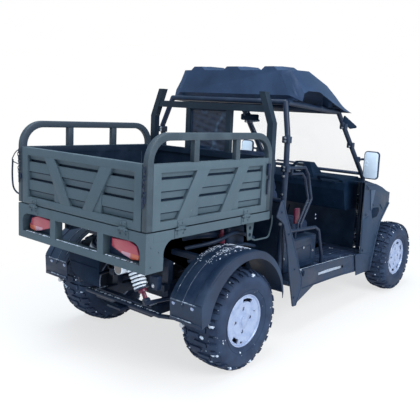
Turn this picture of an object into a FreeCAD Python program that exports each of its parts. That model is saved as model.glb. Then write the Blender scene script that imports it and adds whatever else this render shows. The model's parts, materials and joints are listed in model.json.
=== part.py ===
"""Side by side utility vehicle with a drop-side tipping bed. Millimetres, +Z up, front towards -Y.

Heights are above the ground. Fore-and-aft places are counted from a datum just behind the rear
axle, +Y rearward, with the front pieces drawn about the standard front axle. Each node's Placement
then moves the vehicle so that its origin is the middle of its box, and its front pieces with the
front axle.
"""
import FreeCAD, Part
import math
import os
import re
from types import SimpleNamespace

V = FreeCAD.Vector

SIZES = {
    # wheels and axles
    "tyre_radius": 305, "bead_radius": 146, "rim_lip_radius": 160,
    "wheelbase": 2210, "rear_track_half": 575, "front_track_half": 616,
    "rear_tyre_width": 280, "front_tyre_width": 205, "rim_wall": 6,
    "kingpin_x": 530, "ball_drop": 82, "seat_gap": 0.3,
    # places along: the datum in the vehicle's own frame, the rear axle from the datum, and the
    # wheelbase that the front pieces are drawn for
    "datum_y": 1005, "rear_axle": -40, "drawn_wheelbase": 2210,
    # chassis
    "rail_x": 230, "rail_width": 50, "rail_low": 300, "rail_high": 360,
    "rail_front": -2520, "rail_rear": 300, "bed_rail_rear": 480, "strut_low": 430, "strut_high": 470,
    "bed_rail_low": 790, "bed_rail_high": 833, "arm_spread": 130,
    # bed
    "bed_half": 570, "bed_rear": 648, "bed_front": -393, "deck_top": 905, "deck_thick": 18,
    "channel_low": 835, "channel_width": 45, "panel_low": 697, "panel_depth": 50,
    "gate_gap": 6, "gate_top": 1248, "gate_thick": 36, "gate_border": 45, "sheet_thick": 8,
    "hoop_top": 1403, "hoop_tube": 40, "hoop_radius": 150, "hoop_bar": 34, "hinge_out": 10,
    "pivot_y": 500, "pivot_z": 800, "pivot_radius": 14,
    "post_width": 45, "post_x": 555, "post_top_x": 477, "knee_z": 1463, "post_top": 1658,
    # cab
    "floor_top": 405, "floor_thick": 20, "floor_rear": -600, "floor_front": -1840,
    "skirt_x": 615, "skirt_thick": 5, "panel_thick": 5, "cage_tube": 19, "glass_thick": 5,
    "seat_spacing": 60, "seat_width": 430, "seat_base_top": 640, "dash_top": 1030,
    "roof_wall": 8, "fender_wall": 5, "arch_gap": 51, "arch_rear_gap": 133, "arch_front_gap": 65,
    "arch_rise": 420, "fender_in": 473, "fender_out": 712,
    "wheel_rim_radius": 175, "wheel_tilt": 28, "bumper_tube": 21,
}
D = SimpleNamespace(**SIZES)

doc = FreeCAD.newDocument("utility_vehicle")
sheet = doc.addObject("Spreadsheet::Sheet", "Dims")
for row, (alias, value) in enumerate(SIZES.items(), start=1):
    sheet.set("A%d" % row, alias)
    sheet.set("B%d" % row, str(value))
    sheet.setAlias("B%d" % row, alias)
doc.recompute()

NODES = []


def bind(feature, prop, text):
    """Tie a property to the sheet; names in the text are aliases."""
    feature.setExpression(prop, re.sub(r"[a-z][a-z_]*", lambda m: "Dims." + m.group(), str(text)))


def box(name, across, along, up):
    """A box between low and high places, each an expression of the sheet's aliases."""
    feature = doc.addObject("Part::Box", name)
    for size, place, (low, high) in (("Length", "x", across), ("Width", "y", along), ("Height", "z", up)):
        bind(feature, size, "(%s) - (%s)" % (high, low))
        bind(feature, "Placement.Base." + place, "1 * (%s)" % low)
    return feature


def shape(name, solid):
    """A feature with a shape worked out from the sheet's values."""
    feature = doc.addObject("Part::Feature", name)
    feature.Shape = solid
    return feature


def sketch_on(body, plane, offset, name="Outline"):
    role = {"XY": "XY_Plane", "XZ": "XZ_Plane", "YZ": "YZ_Plane"}[plane]
    origin_plane = [f for f in body.Origin.OriginFeatures if f.Role == role][0]
    sketch = body.newObject("Sketcher::SketchObject", name)
    sketch.AttachmentSupport = [(origin_plane, "")]
    sketch.MapMode = "FlatFace"
    sketch.AttachmentOffset = FreeCAD.Placement(V(0, 0, offset), FreeCAD.Rotation())
    return sketch


def draw(sketch, outline):
    """A closed outline of corners; a corner with a third number is the middle of an arc."""
    count = len(outline)
    index = 0
    while index < count:
        start, middle = outline[index], outline[(index + 1) % count]
        if len(middle) == 3:
            end = outline[(index + 2) % count]
            arc = Part.Arc(V(*start[:2], 0), V(*middle[:2], 0), V(*end[:2], 0))
            sketch.addGeometry(arc, False)
            index += 2
        else:
            sketch.addGeometry(Part.LineSegment(V(*start[:2], 0), V(*middle[:2], 0)), False)
            index += 1


def plate(name, plane, low, thick, outline, holes=()):
    """A sketched plate: its outline lies in the plane, its low face at low, its thickness an alias."""
    body = doc.addObject("PartDesign::Body", name)
    depth = SIZES[thick]
    offset = {"XY": low, "YZ": low, "XZ": -(low + depth)}[plane]
    sketch = sketch_on(body, plane, offset)
    for loop in (outline,) + tuple(holes):
        draw(sketch, loop)
    pad = body.newObject("PartDesign::Pad", "Pad")
    pad.Profile = sketch
    bind(pad, "Length", thick)
    return body


def turned(name, profile, centre):
    """A PartDesign revolution about the lateral axis through centre; profile is (x, radius)."""
    body = doc.addObject("PartDesign::Body", name)
    sketch = sketch_on(body, "XY", 0)
    draw(sketch, profile)
    spin = body.newObject("PartDesign::Revolution", "Turn")
    spin.Profile = sketch
    spin.ReferenceAxis = (sketch, ["H_Axis"])
    spin.Angle = 360
    body.Placement = FreeCAD.Placement(V(*centre), FreeCAD.Rotation())
    return body


def node(name, parts, fused=True, at_front=False):
    """One exported piece: its parts joined into one solid, or kept as solids that don't touch."""
    kind = "Part::MultiFuse" if fused and len(parts) > 1 else "Part::Compound"
    feature = doc.addObject(kind, name)
    if kind == "Part::MultiFuse":
        feature.Shapes = parts
        feature.Refine = True
    else:
        feature.Links = parts
    feature.Label = name
    bind(feature, "Placement.Base.y", "datum_y - wheelbase + drawn_wheelbase" if at_front else "datum_y")
    NODES.append(feature)
    return feature


def rod(start, end, radius):
    start, end = V(*start), V(*end)
    return Part.makeCylinder(radius, (end - start).Length, start, end - start)


def tube(points, radius):
    """Straight runs of round tube with a ball at each bend, as one solid."""
    solids = [rod(a, b, radius) for a, b in zip(points, points[1:])]
    solids += [Part.makeSphere(radius, V(*p)) for p in points[1:-1]]
    return solids[0].multiFuse(solids[1:]) if len(solids) > 1 else solids[0]


def brick(low, high):
    low, high = V(*low), V(*high)
    size = high - low
    return Part.makeBox(size.x, size.y, size.z, low)


def prism(points, direction):
    """A solid from a flat closed outline of 3D corners, pushed along a direction."""
    wire = Part.makePolygon([V(*p) for p in points] + [V(*points[0])])
    return Part.Face(wire).extrude(V(*direction))


def join(solids):
    return solids[0].multiFuse(solids[1:]).removeSplitter()


def mirrored(solid):
    return solid.mirror(V(0, 0, 0), V(1, 0, 0))


def fore(along):
    """A place near the front, drawn for the standard wheelbase, on a piece that reaches the rear."""
    return along - (D.wheelbase - D.drawn_wheelbase)


REAR_AXLE, FRONT_AXLE = D.rear_axle, D.rear_axle - D.drawn_wheelbase
SIDES = (("left", 1), ("right", -1))
AXLES = (  # name, place along, track half, tyre width
    ("rear", REAR_AXLE, D.rear_track_half, D.rear_tyre_width),
    ("front", FRONT_AXLE, D.front_track_half, D.front_tyre_width),
)
BEAD_SHARE = 0.37                # half the bead's width, as a share of the tyre's
FLANGE = 6
HUB_RADIUS = 48
HUB_BACK = -12
FACE_INSET = 26                  # the rim's face lies this far inside its outer bead


# ---- tyre: one solid ring between the rim's flanges, turned about the axle
def tyre_outline(width):
    half, bead = width / 2, width * BEAD_SHARE + FLANGE - 1 - D.seat_gap
    low, top = D.bead_radius + D.seat_gap, D.tyre_radius
    right = [(bead, low), (bead, D.rim_lip_radius + 2), (half, (low + top) / 2 + 4),
             (half - 5, top - 58), (half - 18, top - 26), (half - 42, top - 6), (half - 70, top)]
    return right + [(-x, r) for x, r in reversed(right)]


# ---- rim: barrel with two flanges, a dished face and the hub that runs on the spindle
def rim_outline(width, side):
    bead = width * BEAD_SHARE
    flange, outer, face = bead + FLANGE - 1, bead + 2 * FLANGE - 1, bead - FACE_INSET
    seat, inner, lip = D.bead_radius, D.bead_radius - D.rim_wall, D.rim_lip_radius
    back = face - 2 * D.rim_wall
    outline = [(-outer, inner), (-outer, lip), (-flange, lip), (-flange, seat), (flange, seat),
               (flange, lip), (outer, lip), (outer, inner), (face, inner - 12), (face, HUB_RADIUS),
               (face + 16, HUB_RADIUS - 8), (face + 16, 0), (HUB_BACK, 0), (HUB_BACK, HUB_RADIUS),
               (back, HUB_RADIUS), (back, inner - 8), (back - 10, inner)]
    return [(side * x, r) for x, r in outline]


for axle, along, track, width in AXLES:
    for side_name, side in SIDES:
        name, centre = "%s_%s" % (side_name, axle), (side * track, along, D.tyre_radius)
        node(name + "_tyre", [turned(name + "_tyre_ring", tyre_outline(width), centre)],
             at_front=axle == "front")
        node(name + "_rim", [turned(name + "_rim_turning", rim_outline(width, side), centre)],
             at_front=axle == "front")


# ---- knuckles: an upright block, a spindle into the hub and the brake disc
SPINDLE_RADIUS = 30
KNUCKLE_HALF = (28, 42)
DISC_RADIUS = 118


def knuckle(along, track, pin_x):
    tall = D.ball_drop - D.seat_gap
    across, deep = KNUCKLE_HALF
    block = brick((pin_x - across, along - deep, D.tyre_radius - tall),
                  (pin_x + across, along + deep, D.tyre_radius + tall))
    hub_face = track + HUB_BACK - D.seat_gap
    spindle = rod((pin_x, along, D.tyre_radius), (hub_face, along, D.tyre_radius), SPINDLE_RADIUS)
    disc_x = pin_x + across + 4
    disc = rod((disc_x, along, D.tyre_radius), (disc_x + 6, along, D.tyre_radius), DISC_RADIUS)
    return join([block, spindle, disc])


REAR_PIN_X = D.kingpin_x - 40
front_left = knuckle(FRONT_AXLE, D.front_track_half, D.kingpin_x)
rear_left = knuckle(REAR_AXLE, D.rear_track_half, REAR_PIN_X)
node("left_front_knuckle", [shape("left_front_upright", front_left)], at_front=True)
node("right_front_knuckle", [shape("right_front_upright", mirrored(front_left))], at_front=True)
node("rear_knuckles", [shape("left_rear_upright", rear_left),
                       shape("right_rear_upright", mirrored(rear_left))], fused=False)


# ---- control arms: a pivot tube beside the frame, two legs, a level neck and a ball end
PIVOT_TUBE, LEG, BALL_RADIUS, NECK = 16, 13, 22, 75
ARM_INNER_X = D.rail_x + D.rail_width / 2 + PIVOT_TUBE + D.seat_gap
LOWER_PIVOT_Z = (D.rail_low + D.rail_high) / 2
UPPER_PIVOT_Z = (D.strut_low + D.strut_high) / 2
SHOCK_BAR = 12
REAR_SHOCK_Y, REAR_SHOCK_X, REAR_SHOCK_Z = 380, 300, 420
FRONT_SHOCK_X = 400


def control_arm(along, pin_x, inner_z, sign):
    ball_z = D.tyre_radius + sign * D.ball_drop
    neck_z = ball_z + sign * (LEG + 0.5)
    split = (pin_x - NECK, along, neck_z)
    spread = D.arm_spread
    solids = [rod((ARM_INNER_X, along - spread - 25, inner_z), (ARM_INNER_X, along + spread + 25, inner_z),
                  PIVOT_TUBE),
              rod(split, (pin_x, along, neck_z), LEG), Part.makeSphere(LEG, V(*split)),
              rod((pin_x, along, ball_z), (pin_x, along, ball_z + sign * (2 * LEG + 1)), BALL_RADIUS)]
    solids += [rod((ARM_INNER_X, along + s * spread, inner_z), split, LEG) for s in (-1, 1)]
    return solids


def leg_height(pin_x, x):
    """Height of an upper arm's legs at a place across."""
    neck_z = D.tyre_radius + D.ball_drop + LEG + 0.5
    share = (pin_x - NECK - x) / (pin_x - NECK - ARM_INNER_X)
    return neck_z + share * (UPPER_PIVOT_Z - neck_z)


def axle_arms(along, pin_x, extra_lower=(), extra_upper=()):
    lower = join(control_arm(along, pin_x, LOWER_PIVOT_Z, -1) + list(extra_lower))
    upper = join(control_arm(along, pin_x, UPPER_PIVOT_Z, 1) + list(extra_upper))
    return [lower, upper, mirrored(lower), mirrored(upper)]


SHOCK_SEAT_Z = leg_height(D.kingpin_x, FRONT_SHOCK_X)
shock_seat = rod((FRONT_SHOCK_X, FRONT_AXLE - 45, SHOCK_SEAT_Z),
                 (FRONT_SHOCK_X, FRONT_AXLE + 45, SHOCK_SEAT_Z), SHOCK_BAR)
front_arms = axle_arms(FRONT_AXLE, D.kingpin_x, extra_upper=[shock_seat])
node("front_control_arms", [shape("front_arm_%d" % i, arm) for i, arm in enumerate(front_arms)],
     fused=False, at_front=True)
SHOCK_BAR_X = 370
shock_bar = rod((SHOCK_BAR_X, REAR_AXLE + 26, leg_height(REAR_PIN_X, SHOCK_BAR_X)),
                (REAR_SHOCK_X, REAR_SHOCK_Y + 22, REAR_SHOCK_Z), SHOCK_BAR)
rear_arms = axle_arms(REAR_AXLE, REAR_PIN_X, extra_upper=[shock_bar])
node("rear_control_arms", [shape("rear_arm_%d" % i, arm) for i, arm in enumerate(rear_arms)], fused=False)


# ---- shocks: damper body, spring sleeve and rod in one line between two seats
def shock(lower, upper, trim_low, trim_high, spring_radius):
    lower, upper = V(*lower), V(*upper)
    way = (upper - lower).normalize()
    low, high = lower + way * trim_low, upper - way * trim_high
    length = (high - low).Length
    eye = Part.makeCylinder(14, length, low, way)
    spring = Part.makeCylinder(spring_radius, length * 0.56, low + way * length * 0.26, way)
    return join([eye, spring])


TOWER_TOP = 760
front_shock = shock((FRONT_SHOCK_X, FRONT_AXLE, SHOCK_SEAT_Z), (285, FRONT_AXLE, TOWER_TOP - 20),
                    SHOCK_BAR + 0.6, SHOCK_BAR + 0.6, 36)
rear_shock = shock((REAR_SHOCK_X + 4, REAR_SHOCK_Y, REAR_SHOCK_Z), (110, REAR_SHOCK_Y, 728),
                   SHOCK_BAR + 2.5, SHOCK_BAR + 0.6, 42)
for axle, solid in (("front", front_shock), ("rear", rear_shock)):
    pair = [shape(axle + "_left_shock", solid), shape(axle + "_right_shock", mirrored(solid))]
    node(axle + "_shocks", pair, fused=False, at_front=axle == "front")


# ---- tilt strut: barrel on a chassis pin, rod up to the bed; its top eye is wide, with room to drift
STRUT_X, STRUT_FOOT, STRUT_TOP = 178, (180, 450), (80, 820)
STRUT_PIN, STRUT_BARREL, STRUT_ROD, EYE_HALF = 4.5, 13, 6.5, 8
foot, top = V(STRUT_X, *STRUT_FOOT), V(STRUT_X, *STRUT_TOP)
strut_length = (top - foot).Length
strut_way = (top - foot).normalize()


def eye(centre, hole, outside):
    half = V(EYE_HALF, 0, 0)
    ring = Part.makeCylinder(outside, 2 * EYE_HALF, centre - half, V(1, 0, 0))
    return ring.cut(Part.makeCylinder(hole, 2 * EYE_HALF + 2, centre - half - V(1, 0, 0), V(1, 0, 0)))


barrel = Part.makeCylinder(STRUT_BARREL, 315, foot + strut_way * 15, strut_way)
barrel = barrel.fuse(Part.makeCylinder(18, 2 * EYE_HALF, foot - V(EYE_HALF, 0, 0), V(1, 0, 0)))
barrel = barrel.cut(Part.makeCylinder(STRUT_ROD + 0.5, 320, foot + strut_way * 28, strut_way))
barrel = barrel.cut(Part.makeCylinder(8.3, 40, foot - V(20, 0, 0), V(1, 0, 0)))
ROD_START = 40
strut_rod = Part.makeCylinder(STRUT_ROD, strut_length - ROD_START - 19, foot + strut_way * ROD_START,
                              strut_way)
node("tilt_strut_barrel", [shape("strut_barrel", barrel)])
node("tilt_strut_rod", [shape("strut_rod", strut_rod.fuse(eye(top, 17, 22)))])


# ---- chassis: two main rails, cross members, suspension towers and the rails the bed rests on
def both(low, high):
    solid = brick(low, high)
    return [solid, mirrored(solid)]


RAIL_IN, RAIL_OUT = D.rail_x - D.rail_width / 2, D.rail_x + D.rail_width / 2
chassis = both((RAIL_IN, fore(D.rail_front), D.rail_low), (RAIL_OUT, D.rail_rear, D.rail_high))
for along in (fore(-2480), fore(-1960), fore(-1640), -1320, -1000, -680, -430, 280):   # lower cross members
    chassis.append(brick((-RAIL_IN - 1, along - 20, D.rail_low), (RAIL_IN + 1, along + 20, D.rail_high)))
TOWERS = (fore(-2400), fore(-2100))
for along, top in ((TOWERS[0], TOWER_TOP), (TOWERS[1], TOWER_TOP), (-300, D.bed_rail_high),
                   (-150, D.bed_rail_high), (150, D.bed_rail_high)):   # uprights
    chassis += both((RAIL_IN, along - 20, D.rail_high - 1), (RAIL_OUT, along + 20, top))
for front, rear in ((fore(-2420), fore(-2080)), (-320, 200)):          # upper struts carry the upper arms
    chassis += both((RAIL_IN, front, D.strut_low), (RAIL_OUT, rear, D.strut_high))
chassis += both((RAIL_IN, -400, D.bed_rail_low), (RAIL_OUT, D.bed_rail_rear, D.bed_rail_high))
for along, low, high in ((TOWERS[0], TOWER_TOP - 40, TOWER_TOP), (TOWERS[1], TOWER_TOP - 40, TOWER_TOP),
                         (-300, D.bed_rail_low, D.bed_rail_high), (REAR_SHOCK_Y, 740, D.bed_rail_high)):
    chassis.append(brick((-RAIL_IN - 1, along - 20, low), (RAIL_IN + 1, along + 20, high)))
front_pin = rod((285, TOWERS[0] - 20, TOWER_TOP - 20), (285, TOWERS[1] + 20, TOWER_TOP - 20), SHOCK_BAR)
chassis += [front_pin, mirrored(front_pin)]
for along in TOWERS:
    chassis += both((RAIL_IN, along - 20, TOWER_TOP - 36), (300, along + 20, TOWER_TOP - 4))
rear_pin = rod((110, REAR_SHOCK_Y - 30, 728), (110, REAR_SHOCK_Y + 30, 728), SHOCK_BAR)
chassis += [rear_pin, mirrored(rear_pin)]
sway_bar = [(400, 190, 300), (330, D.rail_rear + 10, 332)]             # behind the rails' ends
chassis.append(tube(sway_bar + [(-x, y, z) for x, y, z in reversed(sway_bar)], 13))

ARCH_TOP = D.tyre_radius + D.arch_rise
ARCH_REAR, ARCH_FRONT = D.tyre_radius + D.arch_rear_gap, D.tyre_radius + D.arch_front_gap
ARCH_REAR_CENTRE = (REAR_AXLE + 25, ARCH_TOP - ARCH_REAR)
ARCH_FRONT_CENTRE = (REAR_AXLE, ARCH_TOP - ARCH_FRONT)


def under_fender(far_y):
    """Height just under the fender's skin over the end of a stay that is farther from the arch's top."""
    centre, radius = (ARCH_REAR_CENTRE, ARCH_REAR) if far_y > REAR_AXLE else (ARCH_FRONT_CENTRE, ARCH_FRONT)
    return centre[1] + math.sqrt((radius - D.fender_wall) ** 2 - (far_y - centre[0]) ** 2) - D.seat_gap


for near_y, far_y in ((110, 150), (-150, -190)):                       # stays that carry the rear fenders
    top = under_fender(far_y)
    chassis += both((RAIL_IN, min(near_y, far_y), top - 30), (620, max(near_y, far_y), top))
for along in (fore(-1700), -1250, -800):                               # outriggers under the floor
    chassis += both((RAIL_IN, along - 20, D.rail_low + 10), (590, along + 20, D.rail_high))
FLOOR_LOW = D.floor_top - D.floor_thick
chassis += both((RAIL_IN, fore(-1840), D.rail_high - 1), (RAIL_OUT, -620, FLOOR_LOW - D.seat_gap))
pivot_pin = rod((RAIL_IN + 20, D.pivot_y, D.pivot_z), (RAIL_OUT + 22, D.pivot_y, D.pivot_z), D.pivot_radius)
chassis += [pivot_pin, mirrored(pivot_pin)]
chassis += both((RAIL_IN + 20, 440, D.pivot_z - 25), (RAIL_OUT, D.pivot_y + 22, D.pivot_z + 25))
chassis.append(rod((STRUT_X - 14, *STRUT_FOOT), (RAIL_IN + 1, *STRUT_FOOT), 8))
hitch = brick((-60, D.rail_rear - 60, 306), (60, D.rail_rear + 70, 318))
HITCH_Y, HITCH_HOLE = D.rail_rear + 48, 10
chassis.append(hitch.cut(rod((0, HITCH_Y, 300), (0, HITCH_Y, 340), HITCH_HOLE)))
node("chassis_frame", [shape("chassis_weldment", join(chassis))])


# ---- driveline: engine as one block, final drives, half shafts and exhaust
node("engine_block", [box("engine_casting", ("-190", "190"), ("-590", "-330"),
                          ("rail_high + seat_gap", "700"))])
DRIVE_Z = 430
for axle, along, pin_x in (("rear", REAR_AXLE, REAR_PIN_X), ("front", FRONT_AXLE, D.kingpin_x)):
    drive = brick((-120, along - 90, D.rail_high - 40), (120, along + 90, DRIVE_Z + 60))
    lug = brick((-RAIL_IN + D.seat_gap, along - 60, D.rail_high - 40),
                (RAIL_IN - D.seat_gap, along + 60, D.rail_high - 10))
    inner, outer = (118, along, DRIVE_Z), (pin_x - 42, along, D.tyre_radius + 8)
    shaft = tube([inner, outer], 13)
    node(axle + "_final_drive", [shape(axle + "_drive_unit", join([drive, lug, shaft, mirrored(shaft)]))],
         at_front=axle == "front")
muffler = join([rod((-170, 250, 590), (120, 250, 590), 62), rod((-110, 250, 588), (-110, 435, 588), 30),
                tube([(-60, -327, 560), (-60, 60, 600), (-60, 200, 600)], 20)])
node("exhaust", [shape("exhaust_system", muffler)])


# ---- cab floor with its toe board, and the body panels along it
floor_parts = [
    box("floor_sheet", ("-skirt_x + seat_gap", "skirt_x - seat_gap"),
        ("floor_front - wheelbase + drawn_wheelbase", "floor_rear"),
        ("floor_top - floor_thick", "floor_top")),
    box("toe_board", ("-470", "470"), ("floor_front - panel_thick - wheelbase + drawn_wheelbase",
        "floor_front + seat_gap - wheelbase + drawn_wheelbase"),
        ("floor_top - floor_thick", "dash_top - 10")),
    box("cab_bulkhead", ("-515", "515"), ("floor_rear - panel_thick", "floor_rear"),
        ("floor_top - 5", "960")),
]
node("floor_pan", floor_parts)
SKIRT_TOP = [(-775, 462), (fore(-1415), 432), (fore(-1640), 415), (fore(-1858), 405)]
SKIRT_LOW = [(fore(-1858), 262), (fore(-1778), 262), (fore(-1405), 290), (-960, 312), (-735, 232),
             (-700, 232)]
SLOT = [(-1005, 395), (fore(-1390), 372), (fore(-1390), 352), (-1005, 368)]
FIN = [(-454, 971), (-474, 971), (-517, 877), (-586, 757), (-669, 594), (-730, 455), (-765, 400),
       (-765, 330), (-705, 218), (-668, 222), (-612, 417), (-547, 677), (-516, 767), (-497, 819),
       (-454, 851), (-408, 877)]
COWL_X = D.skirt_x + D.skirt_thick + D.seat_gap
skirts, fins = [], []
for side_name, side in SIDES:
    low = D.skirt_x if side > 0 else -D.skirt_x - D.skirt_thick
    skirts.append(plate(side_name + "_skirt", "YZ", low, "skirt_thick", SKIRT_TOP + SKIRT_LOW, [SLOT]))
    low = COWL_X if side > 0 else -COWL_X - D.skirt_thick
    fins.append(plate(side_name + "_fin", "YZ", low, "skirt_thick", FIN))
node("side_skirts", skirts, fused=False)
node("quarter_fins", fins, fused=False)


# ---- roll cage: rear hoop, front hoop and the roof rails between them
T = D.cage_tube
B_PILLAR = [(560, -560, D.floor_top + D.seat_gap), (567, -565, 1216), (575, -548, 1390), (516, -591, 1600)]
A_PILLAR = [(500, fore(-1866), 300), (500, fore(-1866), 1020), (470, fore(-1400), 1560)]
PILLAR_Y, PILLAR_TOP_Y = -1866, -1400          # the same, as the front pieces are drawn
CROSS_Z = 950


def hoop(pillar, radius, bars):
    solids = [tube(pillar + [(0, pillar[-1][1], pillar[-1][2])], radius)]
    solids.append(mirrored(solids[0]))
    for across, along, up in bars:
        solids.append(rod((-across, along, up), (across, along, up), radius))
    return join(solids)


node("rear_cage_hoop", [shape("rear_hoop_tubes", hoop(B_PILLAR, T, [(565, -563, CROSS_Z)]))])
rail = rod(A_PILLAR[-1], (516 - 3, -591 - T - 1, 1600), T - 1)
front_hoop = hoop(A_PILLAR, T, [(500, fore(PILLAR_Y), 1000), (500, fore(PILLAR_Y), 390)])
node("front_cage_hoop", [shape("front_hoop_tubes", join([front_hoop, rail, mirrored(rail)]))])


# ---- roof: a moulded shell lofted over frames, open below, its rear corners cut back, with raised ribs
def roof_frame(along, low_x, low_z, top_x, top_z, inset=0):
    return Part.makePolygon([V(x, along, z) for x, z in (
        (-low_x + inset, low_z - (2 if inset else 0)), (-top_x + inset, top_z - inset),
        (top_x - inset, top_z - inset), (low_x - inset, low_z - (2 if inset else 0)),
        (-low_x + inset, low_z - (2 if inset else 0)))])


# along, half width at the rim, rim height, half width on top, top height
ROOF_FRAMES = ((-650, 500, 1648, 410, 1812), (-682, 588, 1612, 487, 1814), (-696, 590, 1664, 487, 1815),
               (-748, 590, 1683, 487, 1820), (-900, 588, 1684, 487, 1825),
               (fore(-1180), 578, 1600, 480, 1744), (fore(-1355), 560, 1566, 462, 1674),
               (fore(-1445), 552, 1560, 452, 1618), (fore(-1478), 548, 1556, 446, 1572))
RIBS = ((-400, -250), (-85, 85), (250, 400))
RIB_FLANK, RIB_RISE = 38, 26


def loft(frames):
    return Part.makeLoft(frames, True, True)


outer = loft([roof_frame(*frame) for frame in ROOF_FRAMES])
inner_frames = [list(frame) for frame in ROOF_FRAMES]
inner_frames[0][0] -= D.roof_wall
inner_frames[-1][0] += D.roof_wall
inner = loft([roof_frame(*frame, inset=D.roof_wall) for frame in inner_frames])
ribs = []
for low_x, high_x in RIBS:
    frames = []
    for y, _, _, _, z in ROOF_FRAMES[:-2]:
        rise, flank = (4, 4) if y == ROOF_FRAMES[-3][0] else (RIB_RISE, RIB_FLANK)
        corners = ((low_x, z - 6), (low_x + flank, z + rise), (high_x - flank, z + rise), (high_x, z - 6))
        frames.append(Part.makePolygon([V(x, y, up) for x, up in corners + corners[:1]]))
    ribs.append(loft(frames))
pads = []
for x, y, z in ((480, -690, 1615.6), (456, fore(-1200), 1589.7)):     # feet on the roof rails
    pad = brick((x, y - 25, z), (x + 50, y + 25, z + 60))
    pad = pad.fuse(brick((x, y - 25, z + 50), (x + 50, y + 25, z + 260)).common(outer))
    pads += [pad, mirrored(pad)]
roof = join([outer.cut(inner)] + ribs + pads)
node("roof", [shape("roof_moulding", roof)])


# ---- windscreen: one clear sheet leaning between the front pillars
PILLAR_BEND_Z, PILLAR_TOP_Z = A_PILLAR[1][2], A_PILLAR[2][2]
lean = V(0, PILLAR_TOP_Y - PILLAR_Y, PILLAR_TOP_Z - PILLAR_BEND_Z).normalize()
out = V(0, -lean.z, lean.y)
low_edge = V(0, PILLAR_Y, PILLAR_BEND_Z) + lean * 30
high_edge = V(0, PILLAR_TOP_Y, PILLAR_TOP_Z) - lean * (T + 6)
glass = [(-479.4, low_edge), (479.4, low_edge), (451.7, high_edge), (-451.7, high_edge)]
glass = prism([(x, p.y, p.z) for x, p in glass], out * D.glass_thick)
node("windscreen", [shape("windscreen_sheet", glass)], at_front=True)


# ---- dash with the raised instrument pod, and the steering wheel on its column
DASH_FRONT = D.floor_front + 2 * D.seat_gap
dash_side = [(DASH_FRONT, 760), (DASH_FRONT, D.dash_top), (-1700, D.dash_top - 4), (-1610, 985),
             (-1590, 930), (-1640, 760)]
dash = prism([(-470, y, z) for y, z in dash_side], (940, 0, 0))
pod = Part.makeLoft([Part.makePolygon([V(x, y, 1000) for x, y in (
    (-150, -1822), (150, -1822), (150, -1640), (-150, -1640), (-150, -1822))]),
    Part.makePolygon([V(x, y, 1118) for x, y in (
        (-75, -1765), (75, -1765), (75, -1690), (-75, -1690), (-75, -1765))])], True, True)
WHEEL_X, WHEEL_Y, WHEEL_Z = 260, -1370, 1030
tilt = math.radians(D.wheel_tilt)
way = V(0, math.cos(tilt), math.sin(tilt))
hub = V(WHEEL_X, WHEEL_Y, WHEEL_Z)
sleeve = Part.makeCylinder(26, 170, hub - way * 290, way)
sleeve = sleeve.cut(Part.makeCylinder(14.5, 190, hub - way * 300, way))
dash = dash.cut(Part.makeCylinder(25, 160, hub - way * 380, way))
node("dashboard", [shape("dash_moulding", join([dash, pod, sleeve]))], at_front=True)
turn = FreeCAD.Rotation(V(0, 0, 1), way)
ring = Part.makeTorus(D.wheel_rim_radius, 14, V(0, 0, 0), V(0, 0, 1))
spokes = [Part.makeCylinder(11, D.wheel_rim_radius, V(0, 0, -2), V(math.cos(a), math.sin(a), 0))
          for a in (math.radians(90), math.radians(210), math.radians(330))]
wheel = join([ring, Part.makeCylinder(45, 40, V(0, 0, -25), V(0, 0, 1)),
              Part.makeCylinder(14, 270, V(0, 0, -290), V(0, 0, 1))] + spokes)
wheel.Placement = FreeCAD.Placement(hub, turn)
node("steering_wheel", [shape("wheel_and_column", wheel)], at_front=True)


# ---- seats on their box, with a tube guard beside each
node("seat_base", [box("seat_box", ("-500", "500"), ("-1150", "-625"),
                       ("floor_top + seat_gap", "seat_base_top"))])
BACK = [(-735, 764.3), (-612, 764.3), (-608, 960), (-545, 1270), (-590, 1290), (-650, 1270)]
for side_name, side in SIDES:
    centre = side * (D.seat_spacing + D.seat_width) / 2
    low, high = centre - D.seat_width / 2, centre + D.seat_width / 2
    cushion = box(side_name + "_cushion_pad", (low, high), ("-1145", "-630"),
                  ("seat_base_top + seat_gap", "764"))
    back = prism([(low, y, z) for y, z in BACK], (D.seat_width, 0, 0))
    node(side_name + "_seat", [cushion, shape(side_name + "_back_pad", back)], fused=False)
GUARD_X, GUARD = 530, 13
guard_low = tube([(GUARD_X, -640, 728), (GUARD_X, -1065, 705), (GUARD_X, -1117, 677), (GUARD_X, -1187, 469),
                  (GUARD_X, -1187, D.floor_top + D.seat_gap)], GUARD)
guard_foot = rod((GUARD_X, -640, D.floor_top + D.seat_gap), (GUARD_X, -640, 728), GUARD)
HIGH_LINE = [(-595, 1167), (-868, 1160), (-918, 1105), (-980, 926), (-856, 752), (-856, 716)]
INNER_LINE = [(-700, 1163), (-700, 1122), (-838, 1118), (-880, 1076), (-936, 926), (-818, 760), (-818, 718)]
guard_high = tube([(GUARD_X, y, z) for y, z in HIGH_LINE], 10)
guard_inner = tube([(GUARD_X, y, z) for y, z in INNER_LINE], 8)
guard_knee = Part.makeSphere(GUARD, V(GUARD_X, -640, 728))
guard = join([guard_low, guard_foot, guard_high, guard_inner, guard_knee])
node("seat_guards", [shape("left_guard", guard), shape("right_guard", mirrored(guard))], fused=False)


# ---- front body: hood, nose, fenders, lamps, mirrors and bumper
W = D.fender_wall
hood_line = [(-1892, 1002), (-2200, 935), (-2460, 840), (-2560, 770)]
HOOD_X = 499
hood_side = hood_line + [(y, z - W) for y, z in reversed(hood_line)]
hood = prism([(-HOOD_X, y, z) for y, z in hood_side], (2 * HOOD_X, 0, 0))
hood_plan = prism([(-HOOD_X, -1892, 600), (HOOD_X, -1892, 600), (HOOD_X, -2330, 600), (400, -2560, 600),
                   (-400, -2560, 600), (-HOOD_X, -2330, 600)], (0, 0, 600))
node("hood", [shape("hood_panel", hood.common(hood_plan))], at_front=True)


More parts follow.
